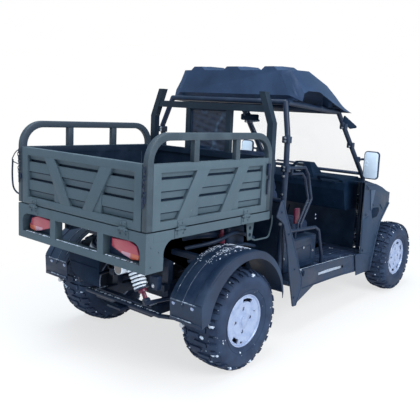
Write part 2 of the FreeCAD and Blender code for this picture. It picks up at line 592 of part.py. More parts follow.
def front_fender():
    """A hollow corner panel: what its plan and its side view share, less the same moved inwards."""
    side_x = HOOD_X + D.seat_gap
    plan = [(side_x, -1655), (COWL_X + W, -1655), (COWL_X + W, -2165), (400.7, -2560 + D.seat_gap),
            (side_x + 0.4, -2330)]
    side_view = [(-1655, 1012), (-1866, 984), (-2000, 946), (-2090, 908), (-2330, 845), (-2600, 750),
                 (-2600, 640), (-2400, 690), (-2165, 800), (-2051, 693), (-2000, 645), (-1952, 518),
                 (-1905, 363), (-1868, 236), (-1720, 240), (-1655, 400)]
    high = prism([(300, y, z) for y, z in side_view], (500, 0, 0))
    full = prism([(x, y, 200) for x, y in plan], (0, 0, 900)).common(high)
    inner_plan = [(300, -1500), (COWL_X, -1500), (COWL_X, -2162), (405, -2550), (300, -2550)]
    inner_side = [(y, z - W) for y, z in side_view[:5]] + [(-2600, 100), (-1500, 100), (-1500, 1000)]
    inner_high = prism([(200, y, z) for y, z in inner_side], (700, 0, 0))
    inner = prism([(x, y, 100) for x, y in inner_plan], (0, 0, 1000)).common(inner_high)
    foot_of_pillar = tube([(x, PILLAR_Y, z) for x, _, z in A_PILLAR[:2]] + [(A_PILLAR[2][0], PILLAR_TOP_Y,
                          PILLAR_TOP_Z)], T + D.seat_gap)
    return full.cut(inner).cut(foot_of_pillar)


fender = front_fender()
node("front_fenders", [shape("left_fender_panel", fender), shape("right_fender_panel", mirrored(fender))],
     fused=False, at_front=True)
nose = brick((-401, -2566, 560), (401, -2560, 764.7))
nose_stays = both((RAIL_IN, -2561, 600), (RAIL_OUT, -2420 - D.seat_gap, 640))
node("nose_grille", [shape("nose_panel", join([nose] + nose_stays))], at_front=True)
corner_a, corner_b = V(COWL_X + W, -2165, 0), V(400.7, -2560 + D.seat_gap, 0)
along_lamp = (corner_b - corner_a).normalize()
outward = V(-along_lamp.y, along_lamp.x, 0)
outward = outward if outward.x > 0 else outward * -1
lamp_start = corner_a + along_lamp * 106 + outward * D.seat_gap
lamp_points = [lamp_start + V(0, 0, z) for z in (742, 838)]
lamp_points += [lamp_start + along_lamp * 190 + V(0, 0, z) for z in (806, 722)]
lamp = prism([(p.x, p.y, p.z) for p in lamp_points], outward * 14)
node("headlights", [shape("left_lamp", lamp), shape("right_lamp", mirrored(lamp))], fused=False,
     at_front=True)
MIRROR_Z, MIRROR_LOW, MIRROR_HIGH, MIRROR_THICK, MIRROR_CORNER = 1190, 1034, 1261, 24, 10
share = (MIRROR_Z - PILLAR_BEND_Z) / (PILLAR_TOP_Z - PILLAR_BEND_Z)
pillar_x = A_PILLAR[1][0] + (A_PILLAR[2][0] - A_PILLAR[1][0]) * share
pillar_y = PILLAR_Y + (PILLAR_TOP_Y - PILLAR_Y) * share
mirror_shell = brick((568, pillar_y - MIRROR_THICK / 2, MIRROR_LOW),
                     (702, pillar_y + MIRROR_THICK / 2, MIRROR_HIGH))
mirror_shell = mirror_shell.makeFillet(MIRROR_CORNER, [e for e in mirror_shell.Edges
                                                       if abs(e.tangentAt(e.FirstParameter).y) > 0.9])
mirror_arm = rod((pillar_x + T + 0.8, pillar_y, MIRROR_Z), (590, pillar_y, MIRROR_Z), 11)
mirror = join([mirror_shell, mirror_arm])
node("door_mirrors", [shape("left_mirror", mirror), shape("right_mirror", mirrored(mirror))], fused=False,
     at_front=True)
BUMPER_Y = -2655
bumper_tubes = [rod((-400, BUMPER_Y, z), (400, BUMPER_Y, z), D.bumper_tube) for z in (330, 500)]
bumper_tubes += [tube([(x, BUMPER_Y, 330), (x, BUMPER_Y, 500), (x, BUMPER_Y + 20, 640)], D.bumper_tube)
                 for x in (-230, 230)]
tow_plate = brick((-40, BUMPER_Y - 6, 340), (40, BUMPER_Y + 6, 490))
TOW_Z, TOW_HOLE = 415, 12
tow_plate = tow_plate.cut(rod((0, BUMPER_Y - 20, TOW_Z), (0, BUMPER_Y + 20, TOW_Z), TOW_HOLE))
bumper_feet = both((D.rail_x - 22, BUMPER_Y, 312), (D.rail_x + 22, D.rail_front - D.seat_gap, 348))
node("front_bumper", [shape("bumper_tubes", join(bumper_tubes + [tow_plate] + bumper_feet))], at_front=True)


# ---- rear fenders: a curved skin over the wheel, a wide lip at its outer edge and a flap behind
def around(centre, radius, degrees):
    turn = math.radians(degrees)
    return (centre[0] + radius * math.cos(turn), centre[1] + radius * math.sin(turn))


REAR_END, FRONT_END = 28, 173
FLAP = [(366, 372), (292, 392)]
LIP_CENTRE, LIP_RADIUS = (REAR_AXLE - 8, D.tyre_radius + 20), D.tyre_radius + D.arch_gap
crest = (REAR_AXLE, ARCH_REAR_CENTRE[1] + math.sqrt(ARCH_REAR ** 2 - (REAR_AXLE - ARCH_REAR_CENTRE[0]) ** 2))
front_foot = around(ARCH_FRONT_CENTRE, ARCH_FRONT, FRONT_END)
outer_arc = [front_foot, around(ARCH_FRONT_CENTRE, ARCH_FRONT, 130) + (0,), crest,
             around(ARCH_REAR_CENTRE, ARCH_REAR, 60) + (0,), around(ARCH_REAR_CENTRE, ARCH_REAR, REAR_END)]
lip_arc = [around(LIP_CENTRE, LIP_RADIUS, 12), around(LIP_CENTRE, LIP_RADIUS, 95) + (0,),
           around(LIP_CENTRE, LIP_RADIUS, 174)]
wall = D.fender_wall
skin_back = [(FLAP[0][0] - wall, FLAP[0][1]), around(ARCH_REAR_CENTRE, ARCH_REAR - wall, REAR_END),
             around(ARCH_REAR_CENTRE, ARCH_REAR - wall, 60) + (0,), (crest[0], crest[1] - wall),
             around(ARCH_FRONT_CENTRE, ARCH_FRONT - wall, 130) + (0,),
             around(ARCH_FRONT_CENTRE, ARCH_FRONT - wall, FRONT_END)]
skin = outer_arc + [FLAP[0]] + skin_back
lip = outer_arc + FLAP + lip_arc
sheet.set("C1", "fender_width")
sheet.set("D1", "=fender_out - fender_in")
sheet.setAlias("D1", "fender_width")
SIZES["fender_width"] = D.fender_out - D.fender_in
doc.recompute()
fenders = []
for side_name, side in SIDES:
    low = D.fender_in if side > 0 else -D.fender_out
    lip_low = D.fender_out - D.fender_wall if side > 0 else -D.fender_out
    fender = doc.addObject("Part::MultiFuse", side_name + "_rear_fender")
    fender.Shapes = [plate(side_name + "_fender_skin", "YZ", low, "fender_width", skin),
                     plate(side_name + "_fender_lip", "YZ", lip_low, "fender_wall", lip)]
    fenders.append(fender)
node("rear_fenders", fenders, fused=False)


# ---- tipping bed: deck, rear light panel, headboard; the gates hinge on its edges
DECK_LOW = D.deck_top - D.deck_thick
HEAD_REAR, HEAD_FRONT = -405, -450
PANEL_IN = D.bed_rear - D.panel_depth
deck = [box("deck_sheet", ("-bed_half", "bed_half"), (HEAD_REAR + D.seat_gap, PANEL_IN - D.seat_gap),
            ("deck_top - deck_thick", "deck_top"))]
under = both((RAIL_IN, HEAD_REAR + 10, D.bed_rail_high + D.seat_gap),
             (RAIL_OUT, D.pivot_y - 40, DECK_LOW + 1))
under += both((D.bed_half - D.channel_width, HEAD_REAR + D.seat_gap, 853),
              (D.bed_half, PANEL_IN - D.seat_gap, DECK_LOW + 1))
for along in (-330, STRUT_TOP[0], 330):
    under.append(brick((-D.bed_half + 5, along - 15, 855), (D.bed_half - 5, along + 15, DECK_LOW + 1)))
for low in (STRUT_X - 20, STRUT_X + 14):
    under.append(brick((low, STRUT_TOP[0] - 14, STRUT_TOP[1] - 14), (low + 6, STRUT_TOP[0] + 14, 860)))
under.append(rod((STRUT_X - 21, *STRUT_TOP), (STRUT_X + 21, *STRUT_TOP), STRUT_PIN))
lug = brick((RAIL_OUT + 2, D.pivot_y - 28, D.pivot_z - 22), (RAIL_OUT + 14, D.pivot_y + 28, DECK_LOW + 1))
lug = lug.cut(rod((RAIL_OUT, D.pivot_y, D.pivot_z), (RAIL_OUT + 20, D.pivot_y, D.pivot_z),
                  D.pivot_radius + 0.08))
under += [lug, mirrored(lug)]
deck.append(shape("deck_frame", join(under)))

LAMP_IN, LAMP_OUT, POST_OUT = 240, 526, 190
WINDOW_LOW, WINDOW_HIGH = 738, 850
ROUND = 55                                             # the outer upper corner of a lamp window
bend = ROUND * (1 - math.sqrt(0.5))
window = [(LAMP_IN, WINDOW_LOW), (LAMP_OUT, WINDOW_LOW), (LAMP_OUT, WINDOW_HIGH - ROUND),
          (LAMP_OUT - bend, WINDOW_HIGH - bend, 0), (LAMP_OUT - ROUND, WINDOW_HIGH), (LAMP_IN, WINDOW_HIGH)]
windows = [window, [(-p[0],) + p[1:] for p in window],
           [(-POST_OUT, WINDOW_LOW), (POST_OUT, WINDOW_LOW), (POST_OUT, WINDOW_HIGH),
            (-POST_OUT, WINDOW_HIGH)]]
panel_edge = [(-D.bed_half, D.panel_low), (D.bed_half, D.panel_low), (D.bed_half, D.deck_top),
              (-D.bed_half, D.deck_top)]
light_panel = [plate("rear_panel_sheet", "XZ", PANEL_IN, "panel_depth", panel_edge, windows)]
WING_TOP = 853 - D.seat_gap
wing = [(PANEL_IN + 1, D.panel_low), (PANEL_IN + 1, WING_TOP), (470, WING_TOP), (508, 828, 0), (524, 760),
        (527, D.panel_low)]
for side_name, side in SIDES:
    low = D.bed_half - D.sheet_thick if side > 0 else -D.bed_half
    light_panel.append(plate(side_name + "_wing_sheet", "YZ", low, "sheet_thick", wing))
HINGE_Y, HINGE_Z = D.bed_rear + D.hinge_out, D.deck_top
SIDE_HINGE_X = D.bed_half + D.hinge_out
REAR_HINGES, SIDE_HINGES = (-400, 400), (-150, 410)
BARREL, EAR, HINGE_LEAF = 7, 8, 4
HALF_BARREL = 24


def hinge_ears(centre):
    """Two ears and their leaf on the bed's rear panel, about a lateral axis."""
    solids = [brick((centre - 40, D.bed_rear - 1, D.deck_top - 48), (centre + 40, D.bed_rear + HINGE_LEAF,
                                                                     D.deck_top - 8))]
    for low in (centre - HALF_BARREL - 6.5, centre + HALF_BARREL + 0.5):
        solids.append(rod((low, HINGE_Y, HINGE_Z), (low + 6, HINGE_Y, HINGE_Z), EAR))
        solids.append(brick((low, D.bed_rear, D.deck_top - 12), (low + 6, HINGE_Y + EAR, D.deck_top)))
    return solids


def hinge_barrel(centre):
    """The moving half: a barrel between the ears and a leaf up the gate's face."""
    low = D.deck_top + D.gate_gap + 2
    return [rod((centre - HALF_BARREL, HINGE_Y, HINGE_Z), (centre + HALF_BARREL, HINGE_Y, HINGE_Z), BARREL),
            brick((centre - HALF_BARREL, D.bed_rear - 1, low),
                  (centre + HALF_BARREL, D.bed_rear + HINGE_LEAF, low + 34)),
            brick((centre - HALF_BARREL, D.bed_rear + 0.5, HINGE_Z + 2),
                  (centre + HALF_BARREL, HINGE_Y + 2, low + 4))]


def to_side(solid, side):
    """Turn a rear hinge so that it lies along the bed's side."""
    moved = solid.copy()
    moved.rotate(V(0, 0, 0), V(0, 0, 1), -90)          # +Y goes to +X, +X goes to -Y
    moved.translate(V(SIDE_HINGE_X - HINGE_Y, 0, 0))
    return moved if side > 0 else mirrored(moved)


light_panel += [shape("rear_hinge_ears_%d" % i, join(hinge_ears(x))) for i, x in enumerate(REAR_HINGES)]
node("rear_light_panel", light_panel)
for side_name, side in SIDES:
    deck += [shape("%s_hinge_ears_%d" % (side_name, y), to_side(join(hinge_ears(-y)), side))
             for y in SIDE_HINGES]
node("bed_deck", deck)


# ---- gates: a border frame, a louvred sheet behind it, slanted braces and, on the sides, a tube hoop
GATE_LOW = D.deck_top + D.gate_gap
SIDE_BORDER = 55
SHEET_IN = 12                                          # the sheet's outer face inside the frame's
LOUVRE_START, LOUVRE_PITCH, LOUVRE_FLAT, LOUVRE_DEEP = 73, 110.5, 58, 98


def gate(low, high, braces, gussets):
    """A gate in its own plane: (place along, height, depth), depth 0 at its inner face."""
    t = D.gate_thick
    frame = brick((low, GATE_LOW, 0), (high, D.gate_top, t))
    inner_low, inner_high = low + SIDE_BORDER, high - SIDE_BORDER
    bottom, top = GATE_LOW + D.gate_border - 3, D.gate_top - D.gate_border
    frame = frame.cut(brick((inner_low, bottom, -1), (inner_high, top, t + 1)))
    solids = [frame, brick((inner_low - 1, bottom - 1, 4), (inner_high + 1, top + 1, 4 + D.sheet_thick))]
    sheet, out = 4 + D.sheet_thick - 1, t - SHEET_IN
    opening = brick((inner_low - 1, bottom - 1, 0), (inner_high + 1, top + 1, t))
    for i in range(int((top + LOUVRE_START - bottom) / LOUVRE_PITCH) + 1):
        z = top + LOUVRE_START - LOUVRE_PITCH * i          # a flat, then a slope back in to the sheet
        fold = ((z, sheet), (z, out), (z - LOUVRE_FLAT, out), (z - LOUVRE_DEEP, sheet))
        solids.append(prism([(inner_low - 1, up, d) for up, d in fold],
                            (inner_high - inner_low + 2, 0, 0)).common(opening))
    for corners in braces + gussets:
        solids.append(prism([(a, z, 5) for a, z in corners], (0, 0, t - 6)))
    return solids


def stand_up(solid, rear):
    """Gate plane to vehicle: across or along, height, outward."""
    m = FreeCAD.Matrix(1, 0, 0, 0, 0, 0, 1, D.bed_rear - D.gate_thick, 0, 1, 0, 0, 0, 0, 0, 1)
    if not rear:
        m = FreeCAD.Matrix(0, 0, 1, D.bed_half - D.gate_thick, 1, 0, 0, 0, 0, 1, 0, 0, 0, 0, 0, 1)
    return solid.transformed(m)


BRACE_LOW, BRACE_HIGH = GATE_LOW + 36, D.gate_top - 40
TAIL_HALF = 528
brace = [(205, BRACE_HIGH), (302, BRACE_HIGH), (142, BRACE_LOW), (56, BRACE_LOW)]
gusset = [(140, BRACE_LOW), (208, BRACE_LOW), (216, BRACE_LOW + 150), (200, BRACE_LOW + 120)]
tail = gate(-TAIL_HALF, TAIL_HALF, [brace, [(-x, z) for x, z in brace]],
            [gusset, [(-x, z) for x, z in gusset]])
tail = [stand_up(s, True) for s in tail] + [s for x in REAR_HINGES for s in hinge_barrel(x)]
node("tailgate", [shape("tailgate_weldment", join(tail))])

GATE_FRONT, GATE_REAR, HOOP_LEG = HEAD_REAR + 6, D.bed_rear, D.hoop_tube
side_braces, side_gussets = [], []
for y in (0, 352):
    side_braces.append([(y + 85, BRACE_LOW), (y - 10, BRACE_LOW), (y - 164, BRACE_HIGH),
                        (y - 62, BRACE_HIGH)])
    side_gussets.append([(y - 8, BRACE_LOW), (y - 67, BRACE_LOW), (y - 70, BRACE_LOW + 56),
                         (y - 45, BRACE_LOW + 60)])
side_gate = gate(GATE_FRONT + HOOP_LEG - 1, GATE_REAR - HOOP_LEG + 1, side_braces, side_gussets)
R_OUT, R_IN = D.hoop_radius, D.hoop_radius - HOOP_LEG


def hoop_outline(front, rear, top, radius):
    """An arch in the gate's plane: up, round, along, round and down."""
    k = radius * (1 - math.sqrt(0.5))
    return [Part.LineSegment(V(front, GATE_LOW, 0), V(front, top - radius, 0)),
            Part.Arc(V(front, top - radius, 0), V(front + k, top - k, 0), V(front + radius, top, 0)),
            Part.LineSegment(V(front + radius, top, 0), V(rear - radius, top, 0)),
            Part.Arc(V(rear - radius, top, 0), V(rear - k, top - k, 0), V(rear, top - radius, 0)),
            Part.LineSegment(V(rear, top - radius, 0), V(rear, GATE_LOW, 0)),
            Part.LineSegment(V(rear, GATE_LOW, 0), V(front, GATE_LOW, 0))]


def arch_face(front, rear, top, radius):
    return Part.Face(Part.Wire([piece.toShape() for piece in hoop_outline(front, rear, top, radius)]))


arch = arch_face(GATE_FRONT, GATE_REAR, D.hoop_top, R_OUT).extrude(V(0, 0, D.gate_thick))
hollow = arch_face(GATE_FRONT + HOOP_LEG, GATE_REAR - HOOP_LEG, D.hoop_top - HOOP_LEG, R_IN)
hollow.translate(V(0, 0, -1))
arch = arch.cut(hollow.extrude(V(0, 0, D.gate_thick + 2)))
bars = [brick((y - D.hoop_bar / 2, D.gate_top - 1, 8),
              (y + D.hoop_bar / 2, D.hoop_top - HOOP_LEG + 1, D.gate_thick - 4)) for y in (-52, 300)]
side_gate = join([stand_up(s, False) for s in side_gate + [arch] + bars]
                 + [to_side(s, 1) for y in SIDE_HINGES for s in hinge_barrel(-y)])
for side_name, side in SIDES:
    solid = side_gate if side > 0 else mirrored(side_gate)
    node(side_name + "_side_gate", [shape(side_name + "_gate_weldment", solid)])


# ---- headboard: fixed front wall with posts that lean in above the knee
POST_OUTER, POST_IN = D.post_x, D.post_x - D.post_width
post_edge = [(POST_OUTER, 853), (POST_OUTER, D.knee_z), (D.post_top_x, D.post_top),
             (D.post_top_x - 46, D.post_top),
             (POST_IN, D.knee_z - 8), (POST_IN, 853)]
post = prism([(x, HEAD_FRONT, z) for x, z in post_edge], (0, D.post_width, 0))
wall = [post, mirrored(post)]
cross_x = D.post_top_x + (D.post_x - D.post_top_x) * (D.post_top - 1550) / (D.post_top - D.knee_z) - 30
wall.append(brick((-cross_x, HEAD_FRONT + 4, 1528), (cross_x, HEAD_REAR - 4, 1573)))
wall.append(brick((-POST_IN - 1, HEAD_FRONT + 4, D.gate_top - 40), (POST_IN + 1, HEAD_REAR - 4, D.gate_top)))
wall.append(brick((-POST_IN - 1, HEAD_FRONT + 4, 853), (POST_IN + 1, HEAD_REAR, 900)))
wall.append(brick((-POST_IN - 1, HEAD_FRONT + 14, 899), (POST_IN + 1, HEAD_REAR - 14, D.gate_top - 39)))
for x in (-183, 183):
    wall.append(brick((x - 20, HEAD_FRONT + 6, D.gate_top - 1), (x + 20, HEAD_REAR - 6, 1529)))
node("headboard", [shape("headboard_weldment", join(wall))])
node("headboard_screen", [box("screen_sheet", ("-163 + seat_gap", "163 - seat_gap"), ("-430", "-425"),
                              ("gate_top + seat_gap", "1528 - seat_gap"))])
LENS_FACE = D.bed_rear - 27                            # the lens stands back from the panel's outer face
lens_edge = [(277, 787), (277, 834), (412, 840), (470, 822), (493, 775), (489, 752), (440, 744), (380, 756)]
lens = prism([(x, PANEL_IN + 4, z) for x, z in lens_edge], (0, LENS_FACE - PANEL_IN - 4, 0))
lens_foot = brick((LAMP_IN + 80, PANEL_IN + 6, WINDOW_LOW + D.seat_gap), (LAMP_OUT - 70, PANEL_IN + 18, 790))
lamp_box = join([lens, lens_foot])
node("taillights", [shape("left_tail_lamp", lamp_box), shape("right_tail_lamp", mirrored(lamp_box))],
     fused=False)

doc.recompute()
failed = [o.Name for o in doc.Objects if {"Invalid", "Error"} & set(o.State)]
failed += [n.Label for n in NODES if n.Shape.isNull() or not n.Shape.isValid() or not n.Shape.Solids]
if failed:
    raise SystemExit("failed features: " + ", ".join(failed))
os.makedirs("parts", exist_ok=True)
for piece in NODES:
    piece.Shape.exportStep(os.path.join("parts", piece.Label + ".step"))
whole = Part.makeCompound([n.Shape for n in NODES]).BoundBox
print("nodes", len(NODES), "box", [round(v, 1) for v in (whole.XMin, whole.XMax, whole.YMin, whole.YMax,
                                                         whole.ZMin, whole.ZMax)])
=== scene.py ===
"""Looks of a side by side utility vehicle with a tipping, drop-side bed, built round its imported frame.

Metres, +Z up, the vehicle's front towards -Y and its left side towards +X.
"""

import json
import math
import random

import bmesh
import bpy
from mathutils import Matrix, Vector


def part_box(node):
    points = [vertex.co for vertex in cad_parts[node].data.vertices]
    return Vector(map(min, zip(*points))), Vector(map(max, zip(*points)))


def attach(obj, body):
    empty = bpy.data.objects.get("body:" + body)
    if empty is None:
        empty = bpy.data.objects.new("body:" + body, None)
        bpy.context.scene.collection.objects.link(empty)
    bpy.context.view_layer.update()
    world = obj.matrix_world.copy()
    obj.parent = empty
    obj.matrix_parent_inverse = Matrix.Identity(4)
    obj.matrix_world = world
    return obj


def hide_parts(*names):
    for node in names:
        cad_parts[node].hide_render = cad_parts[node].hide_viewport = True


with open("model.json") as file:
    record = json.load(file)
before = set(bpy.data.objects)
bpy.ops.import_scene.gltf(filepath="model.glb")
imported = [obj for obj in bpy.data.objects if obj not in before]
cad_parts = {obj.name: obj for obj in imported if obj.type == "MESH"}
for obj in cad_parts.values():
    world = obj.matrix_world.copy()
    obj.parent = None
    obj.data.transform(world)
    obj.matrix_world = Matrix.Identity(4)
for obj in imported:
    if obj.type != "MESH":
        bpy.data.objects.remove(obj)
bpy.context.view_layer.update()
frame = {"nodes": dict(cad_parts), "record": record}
scene = bpy.context.scene

# ---- Studio: a pale floor that runs out to a white surround, one broad soft lamp over the vehicle's right
# side, weaker ones behind and above it, and cool light from all round, as under an overcast sky over snow.
FLOOR_HALF = 40.0
FLOOR_GREY = (0.80, 0.80, 0.80)
FLOOR_SPREAD = (0.80, 0.46, 1.0)                           # where the floor starts to go white
FLOOR_WHITE_NEAR = 0.68
WHITE = (1, 1, 1, 1)
SKY_COLOUR = (0.62, 0.815, 1.0, 1.0)
SKY_LEVEL = 0.69
LAMPS = (  # name, place, aimed at, edge length, watts
    ("side_lamp", (-7.5, 1.2, 5.2), (0.0, 0.4, 0.7), 5.0, 680),
    ("rear_lamp", (1.5, 8.5, 5.0), (0.0, 0.6, 0.8), 4.0, 60),
    ("top_lamp", (0.3, 2.0, 8.0), (0.0, -0.2, 1.0), 5.0, 500),
)


class Wire:
    """A socket of a material's nodes, with arithmetic."""

    def __init__(self, finish, socket):
        self.finish = finish
        self.socket = socket

    def maths(self, operation, first, second):
        return self.finish.node("Math", {"operation": operation}, {0: first, 1: second})

    def __add__(self, other):
        return self.maths("ADD", self, other)

    def __sub__(self, other):
        return self.maths("SUBTRACT", self, other)

    def __rsub__(self, other):
        return self.maths("SUBTRACT", other, self)

    def __mul__(self, other):
        return self.maths("MULTIPLY", self, other)

    def __abs__(self):
        return self.maths("ABSOLUTE", self, self)

    __radd__ = __add__
    __rmul__ = __mul__


class Finish:
    """A material with one shader; its patterns are added node by node."""

    def __init__(self, name, colour, roughness, metallic=0.0, **sockets):
        self.material = bpy.data.materials.new(name)
        self.material.use_nodes = True
        self.tree = self.material.node_tree
        self.shader = self.tree.nodes["Principled BSDF"]
        self.colour = (*colour[:3], 1.0)
        self.set({"Base Color": self.colour, "Roughness": roughness, "Metallic": metallic})
        self.set({key.replace("_", " "): value for key, value in sockets.items()})

    def feed(self, socket, value):
        if isinstance(value, Wire):
            self.tree.links.new(value.socket, socket)
        else:
            socket.default_value = value

    def set(self, sockets):
        for key, value in sockets.items():
            self.feed(self.shader.inputs[key], value)

    def node(self, kind, settings=None, sockets=None, output=0):
        """A node of this kind: settings first, then the values or wires of its sockets."""
        made = self.tree.nodes.new("ShaderNode" + kind)
        for key, value in (settings or {}).items():
            setattr(made, key, value)
        for key, value in (sockets or {}).items():
            self.feed(made.inputs[key], value)
        return Wire(self, made.outputs[output])

    def place(self, axis=None):
        """Where a point of the object lies: all three coordinates, or one."""
        whole = self.node("TexCoord", output="Object")
        return whole if axis is None else self.node("SeparateXYZ", {}, {0: whole}, output=axis)

    def noise(self, scale, detail=3.0, rough=0.55):
        return self.node("TexNoise", {}, {"Vector": self.place(), "Scale": scale, "Detail": detail,
            "Roughness": rough}, output="Fac")

    def mask(self, factor, low, high):
        """0 below low, 1 above high."""
        return self.node("MapRange", {}, {"Value": factor, "From Min": low, "From Max": high},
            output="Result")

    def mix(self, factor, first, second):
        """A blend of two colours."""
        wide = [(*c[:3], 1.0) if isinstance(c, tuple) else c for c in (first, second)]
        return self.node("Mix", {"data_type": "RGBA"}, {0: factor, 6: wide[0], 7: wide[1]}, output=2)

    def bump(self, height, strength, distance):
        self.set({"Normal": self.node("Bump", {}, {"Height": height, "Strength": strength,
            "Distance": distance}, output="Normal")})

    def weather(self, noise, low, high, share, colour, rough=None, scratches=None):
        """Patches of a second colour with their own roughness, and scratches of that colour through them."""
        patches = self.mask(self.noise(*noise), low, high)
        amount = patches * share
        if scratches:
            fine, low, high, weight = scratches
            amount = self.mask(self.noise(*fine), low, high) * weight + amount
        self.set({"Base Color": self.mix(amount, self.colour, colour)})
        if rough:
            self.set({"Roughness": rough[0] + rough[1] * patches})

    def grain(self, scale, detail, strength, distance):
        """A fine even roughness of the surface itself."""
        self.bump(self.noise(scale, detail), strength, distance)


def seen_rays(finish):
    """1 for what the eye, a mirror or a clear sheet sees, 0 for what lights the object."""
    eye, mirrored, through = (finish.node("LightPath", output=name)
        for name in ("Is Camera Ray", "Is Glossy Ray", "Is Transmission Ray"))
    return eye.maths("MAXIMUM", eye, mirrored.maths("MAXIMUM", mirrored, through))


bm = bmesh.new()
bmesh.ops.create_grid(bm, x_segments=1, y_segments=1, size=FLOOR_HALF)
floor_mesh = bpy.data.meshes.new("floor")
bm.to_mesh(floor_mesh)
bm.free()
floor = bpy.data.objects.new("floor", floor_mesh)
scene.collection.objects.link(floor)

floor_paint = Finish("floor_paint", FLOOR_GREY, 0.9, Specular_IOR_Level=0.1)
spread = floor_paint.node("Mapping", {}, {"Vector": floor_paint.place(), "Scale": FLOOR_SPREAD})
reach = floor_paint.node("VectorMath", {"operation": "LENGTH"}, {0: spread}, output="Value")
white = floor_paint.node("MapRange", {}, {"Value": reach, "From Min": 1.0, "From Max": 1.8,
    "To Min": FLOOR_WHITE_NEAR}, output="Result")
glow = floor_paint.node("Emission", {}, {"Color": WHITE, "Strength": 1.0}, output="Emission")
lit = Wire(floor_paint, floor_paint.shader.outputs["BSDF"])
blend = floor_paint.node("MixShader", {}, {0: white * seen_rays(floor_paint), 1: lit, 2: glow},
    output="Shader")
floor_paint.feed(floor_paint.tree.nodes["Material Output"].inputs["Surface"], blend)
floor_mesh.materials.append(floor_paint.material)

world = bpy.data.worlds.new("surround")
scene.world = world
world.use_nodes = True
tree = world.node_tree
sky = tree.nodes["Background"]
seen = tree.nodes.new("ShaderNodeBackground")
for ground, colour, level in ((sky, SKY_COLOUR, SKY_LEVEL), (seen, WHITE, 1.0)):
    ground.inputs["Color"].default_value = colour
    ground.inputs["Strength"].default_value = level
rays = tree.nodes.new("ShaderNodeLightPath")
either = tree.nodes.new("ShaderNodeMath")
either.operation = "MAXIMUM"
choose = tree.nodes.new("ShaderNodeMixShader")
for source, sink in ((rays.outputs["Is Camera Ray"], either.inputs[0]),
        (rays.outputs["Is Transmission Ray"], either.inputs[1]), (either.outputs[0], choose.inputs[0]),
        (sky.outputs[0], choose.inputs[1]), (seen.outputs[0], choose.inputs[2]),
        (choose.outputs[0], tree.nodes["World Output"].inputs["Surface"])):
    tree.links.new(source, sink)

for name, place, aim, edge, watts in LAMPS:
    lamp = bpy.data.lights.new(name, "AREA")
    lamp.energy = watts
    lamp.size = edge
    lamp_object = bpy.data.objects.new(name, lamp)
    scene.collection.objects.link(lamp_object)
    way = Vector(aim) - Vector(place)
    lamp_object.matrix_world = Matrix.Translation(place) @ way.to_track_quat("-Z", "Y").to_matrix().to_4x4()

# ---- Camera: behind the vehicle's right rear corner at a standing person's eye height, slightly tilted.
# Its place, turn and focal length follow from where the wheels and the bed's corners are seen.
CAMERA_PLACE = Vector((-2.576, 3.504, 1.532))
YAW, PITCH, ROLL = 0.644, -0.143, 0.054
SENSOR = 36.0
FOCAL_WIDTHS = 1.33309524                                  # focal length over the sensor's width
SHIFT = (-0.0930, -0.0439)

ahead = Vector((math.sin(YAW) * math.cos(PITCH), -math.cos(YAW) * math.cos(PITCH), math.sin(PITCH)))
level_right = ahead.cross(Vector((0, 0, 1))).normalized()
level_up = level_right.cross(ahead)
right = math.cos(ROLL) * level_right + math.sin(ROLL) * level_up
up = math.cos(ROLL) * level_up - math.sin(ROLL) * level_right
lens = bpy.data.cameras.new("camera")
lens.sensor_width = SENSOR
lens.lens = SENSOR * FOCAL_WIDTHS
lens.shift_x, lens.shift_y = SHIFT
lens.clip_end = 200.0
camera = bpy.data.objects.new("camera", lens)
camera.matrix_world = Matrix.Translation(CAMERA_PLACE) @ Matrix((right, up, -ahead)).transposed().to_4x4()
scene.collection.objects.link(camera)
scene.camera = camera
scene.view_settings.view_transform = "Standard"

# ---- Tyres: moulded black rubber, a rounded carcass with tall open lugs that hook round the shoulder on to
# the sidewall, so that mud and snow fall out. Each is one moulding, fitted over the rim's two flanges.
TYRE_SIZES = {"rear": 0.280, "front": 0.205}               # section width
CARCASS = (  # share of half the width, radius: from the bead up the sidewall to the crown
    (0.770, 0.1480), (0.800, 0.1560), (0.850, 0.1650), (0.920, 0.1800), (0.975, 0.2000), (1.000, 0.2200),
    (0.994, 0.2390), (0.958, 0.2570), (0.880, 0.2730), (0.760, 0.2835), (0.570, 0.2905), (0.300, 0.2932),
    (0.000, 0.2945))
CROWN, TREAD_TOP = 0.2945, 0.3045
TREAD_RUNS = 7                                             # runs of the carcass that carry lugs
LUG_PITCHES = 20
LUGS = (  # across from, across to, middle along, half length along, skew, height
    (-0.10, 0.36, 0.0, 0.0165, 0.22, 1.0),
    (0.43, 0.70, 0.0, 0.0200, 0.10, 1.0),
    (0.48, 0.63, 0.5, 0.0120, 0.00, 0.9),
)
LUG_ROOT = 0.004                                           # how deep a lug is sunk in the carcass
SIDE_RING = (0.955, 0.190)                                 # the raised ring: share of half the width, radius
SIDE_RING_SHAPE = ((-0.002, -0.0035), (0.0016, -0.0015), (0.0016, 0.0015), (-0.002, 0.0035))
TYRE_START = 0.11
RUBBER = (0.013, 0.025, 0.058)
RUBBER_DUST = (0.038, 0.067, 0.126)
SNOW = (0.66, 0.73, 0.84)

rubber = Finish("tyre_rubber", RUBBER, 0.72, Specular_IOR_Level=0.25)
dust = rubber.mask(rubber.noise(9.0, 5.0), 0.42, 0.68) * 0.55
rubber_colour = rubber.mix(dust, RUBBER, RUBBER_DUST)
specks = rubber.mask(rubber.noise(26.0, 4.0, 0.7), 0.675, 0.71)
rubber.set({"Base Color": rubber.mix(specks, rubber_colour, SNOW), "Roughness": 0.62 + 0.25 * dust})
rubber.grain(260.0, 2.0, 0.25, 0.0008)


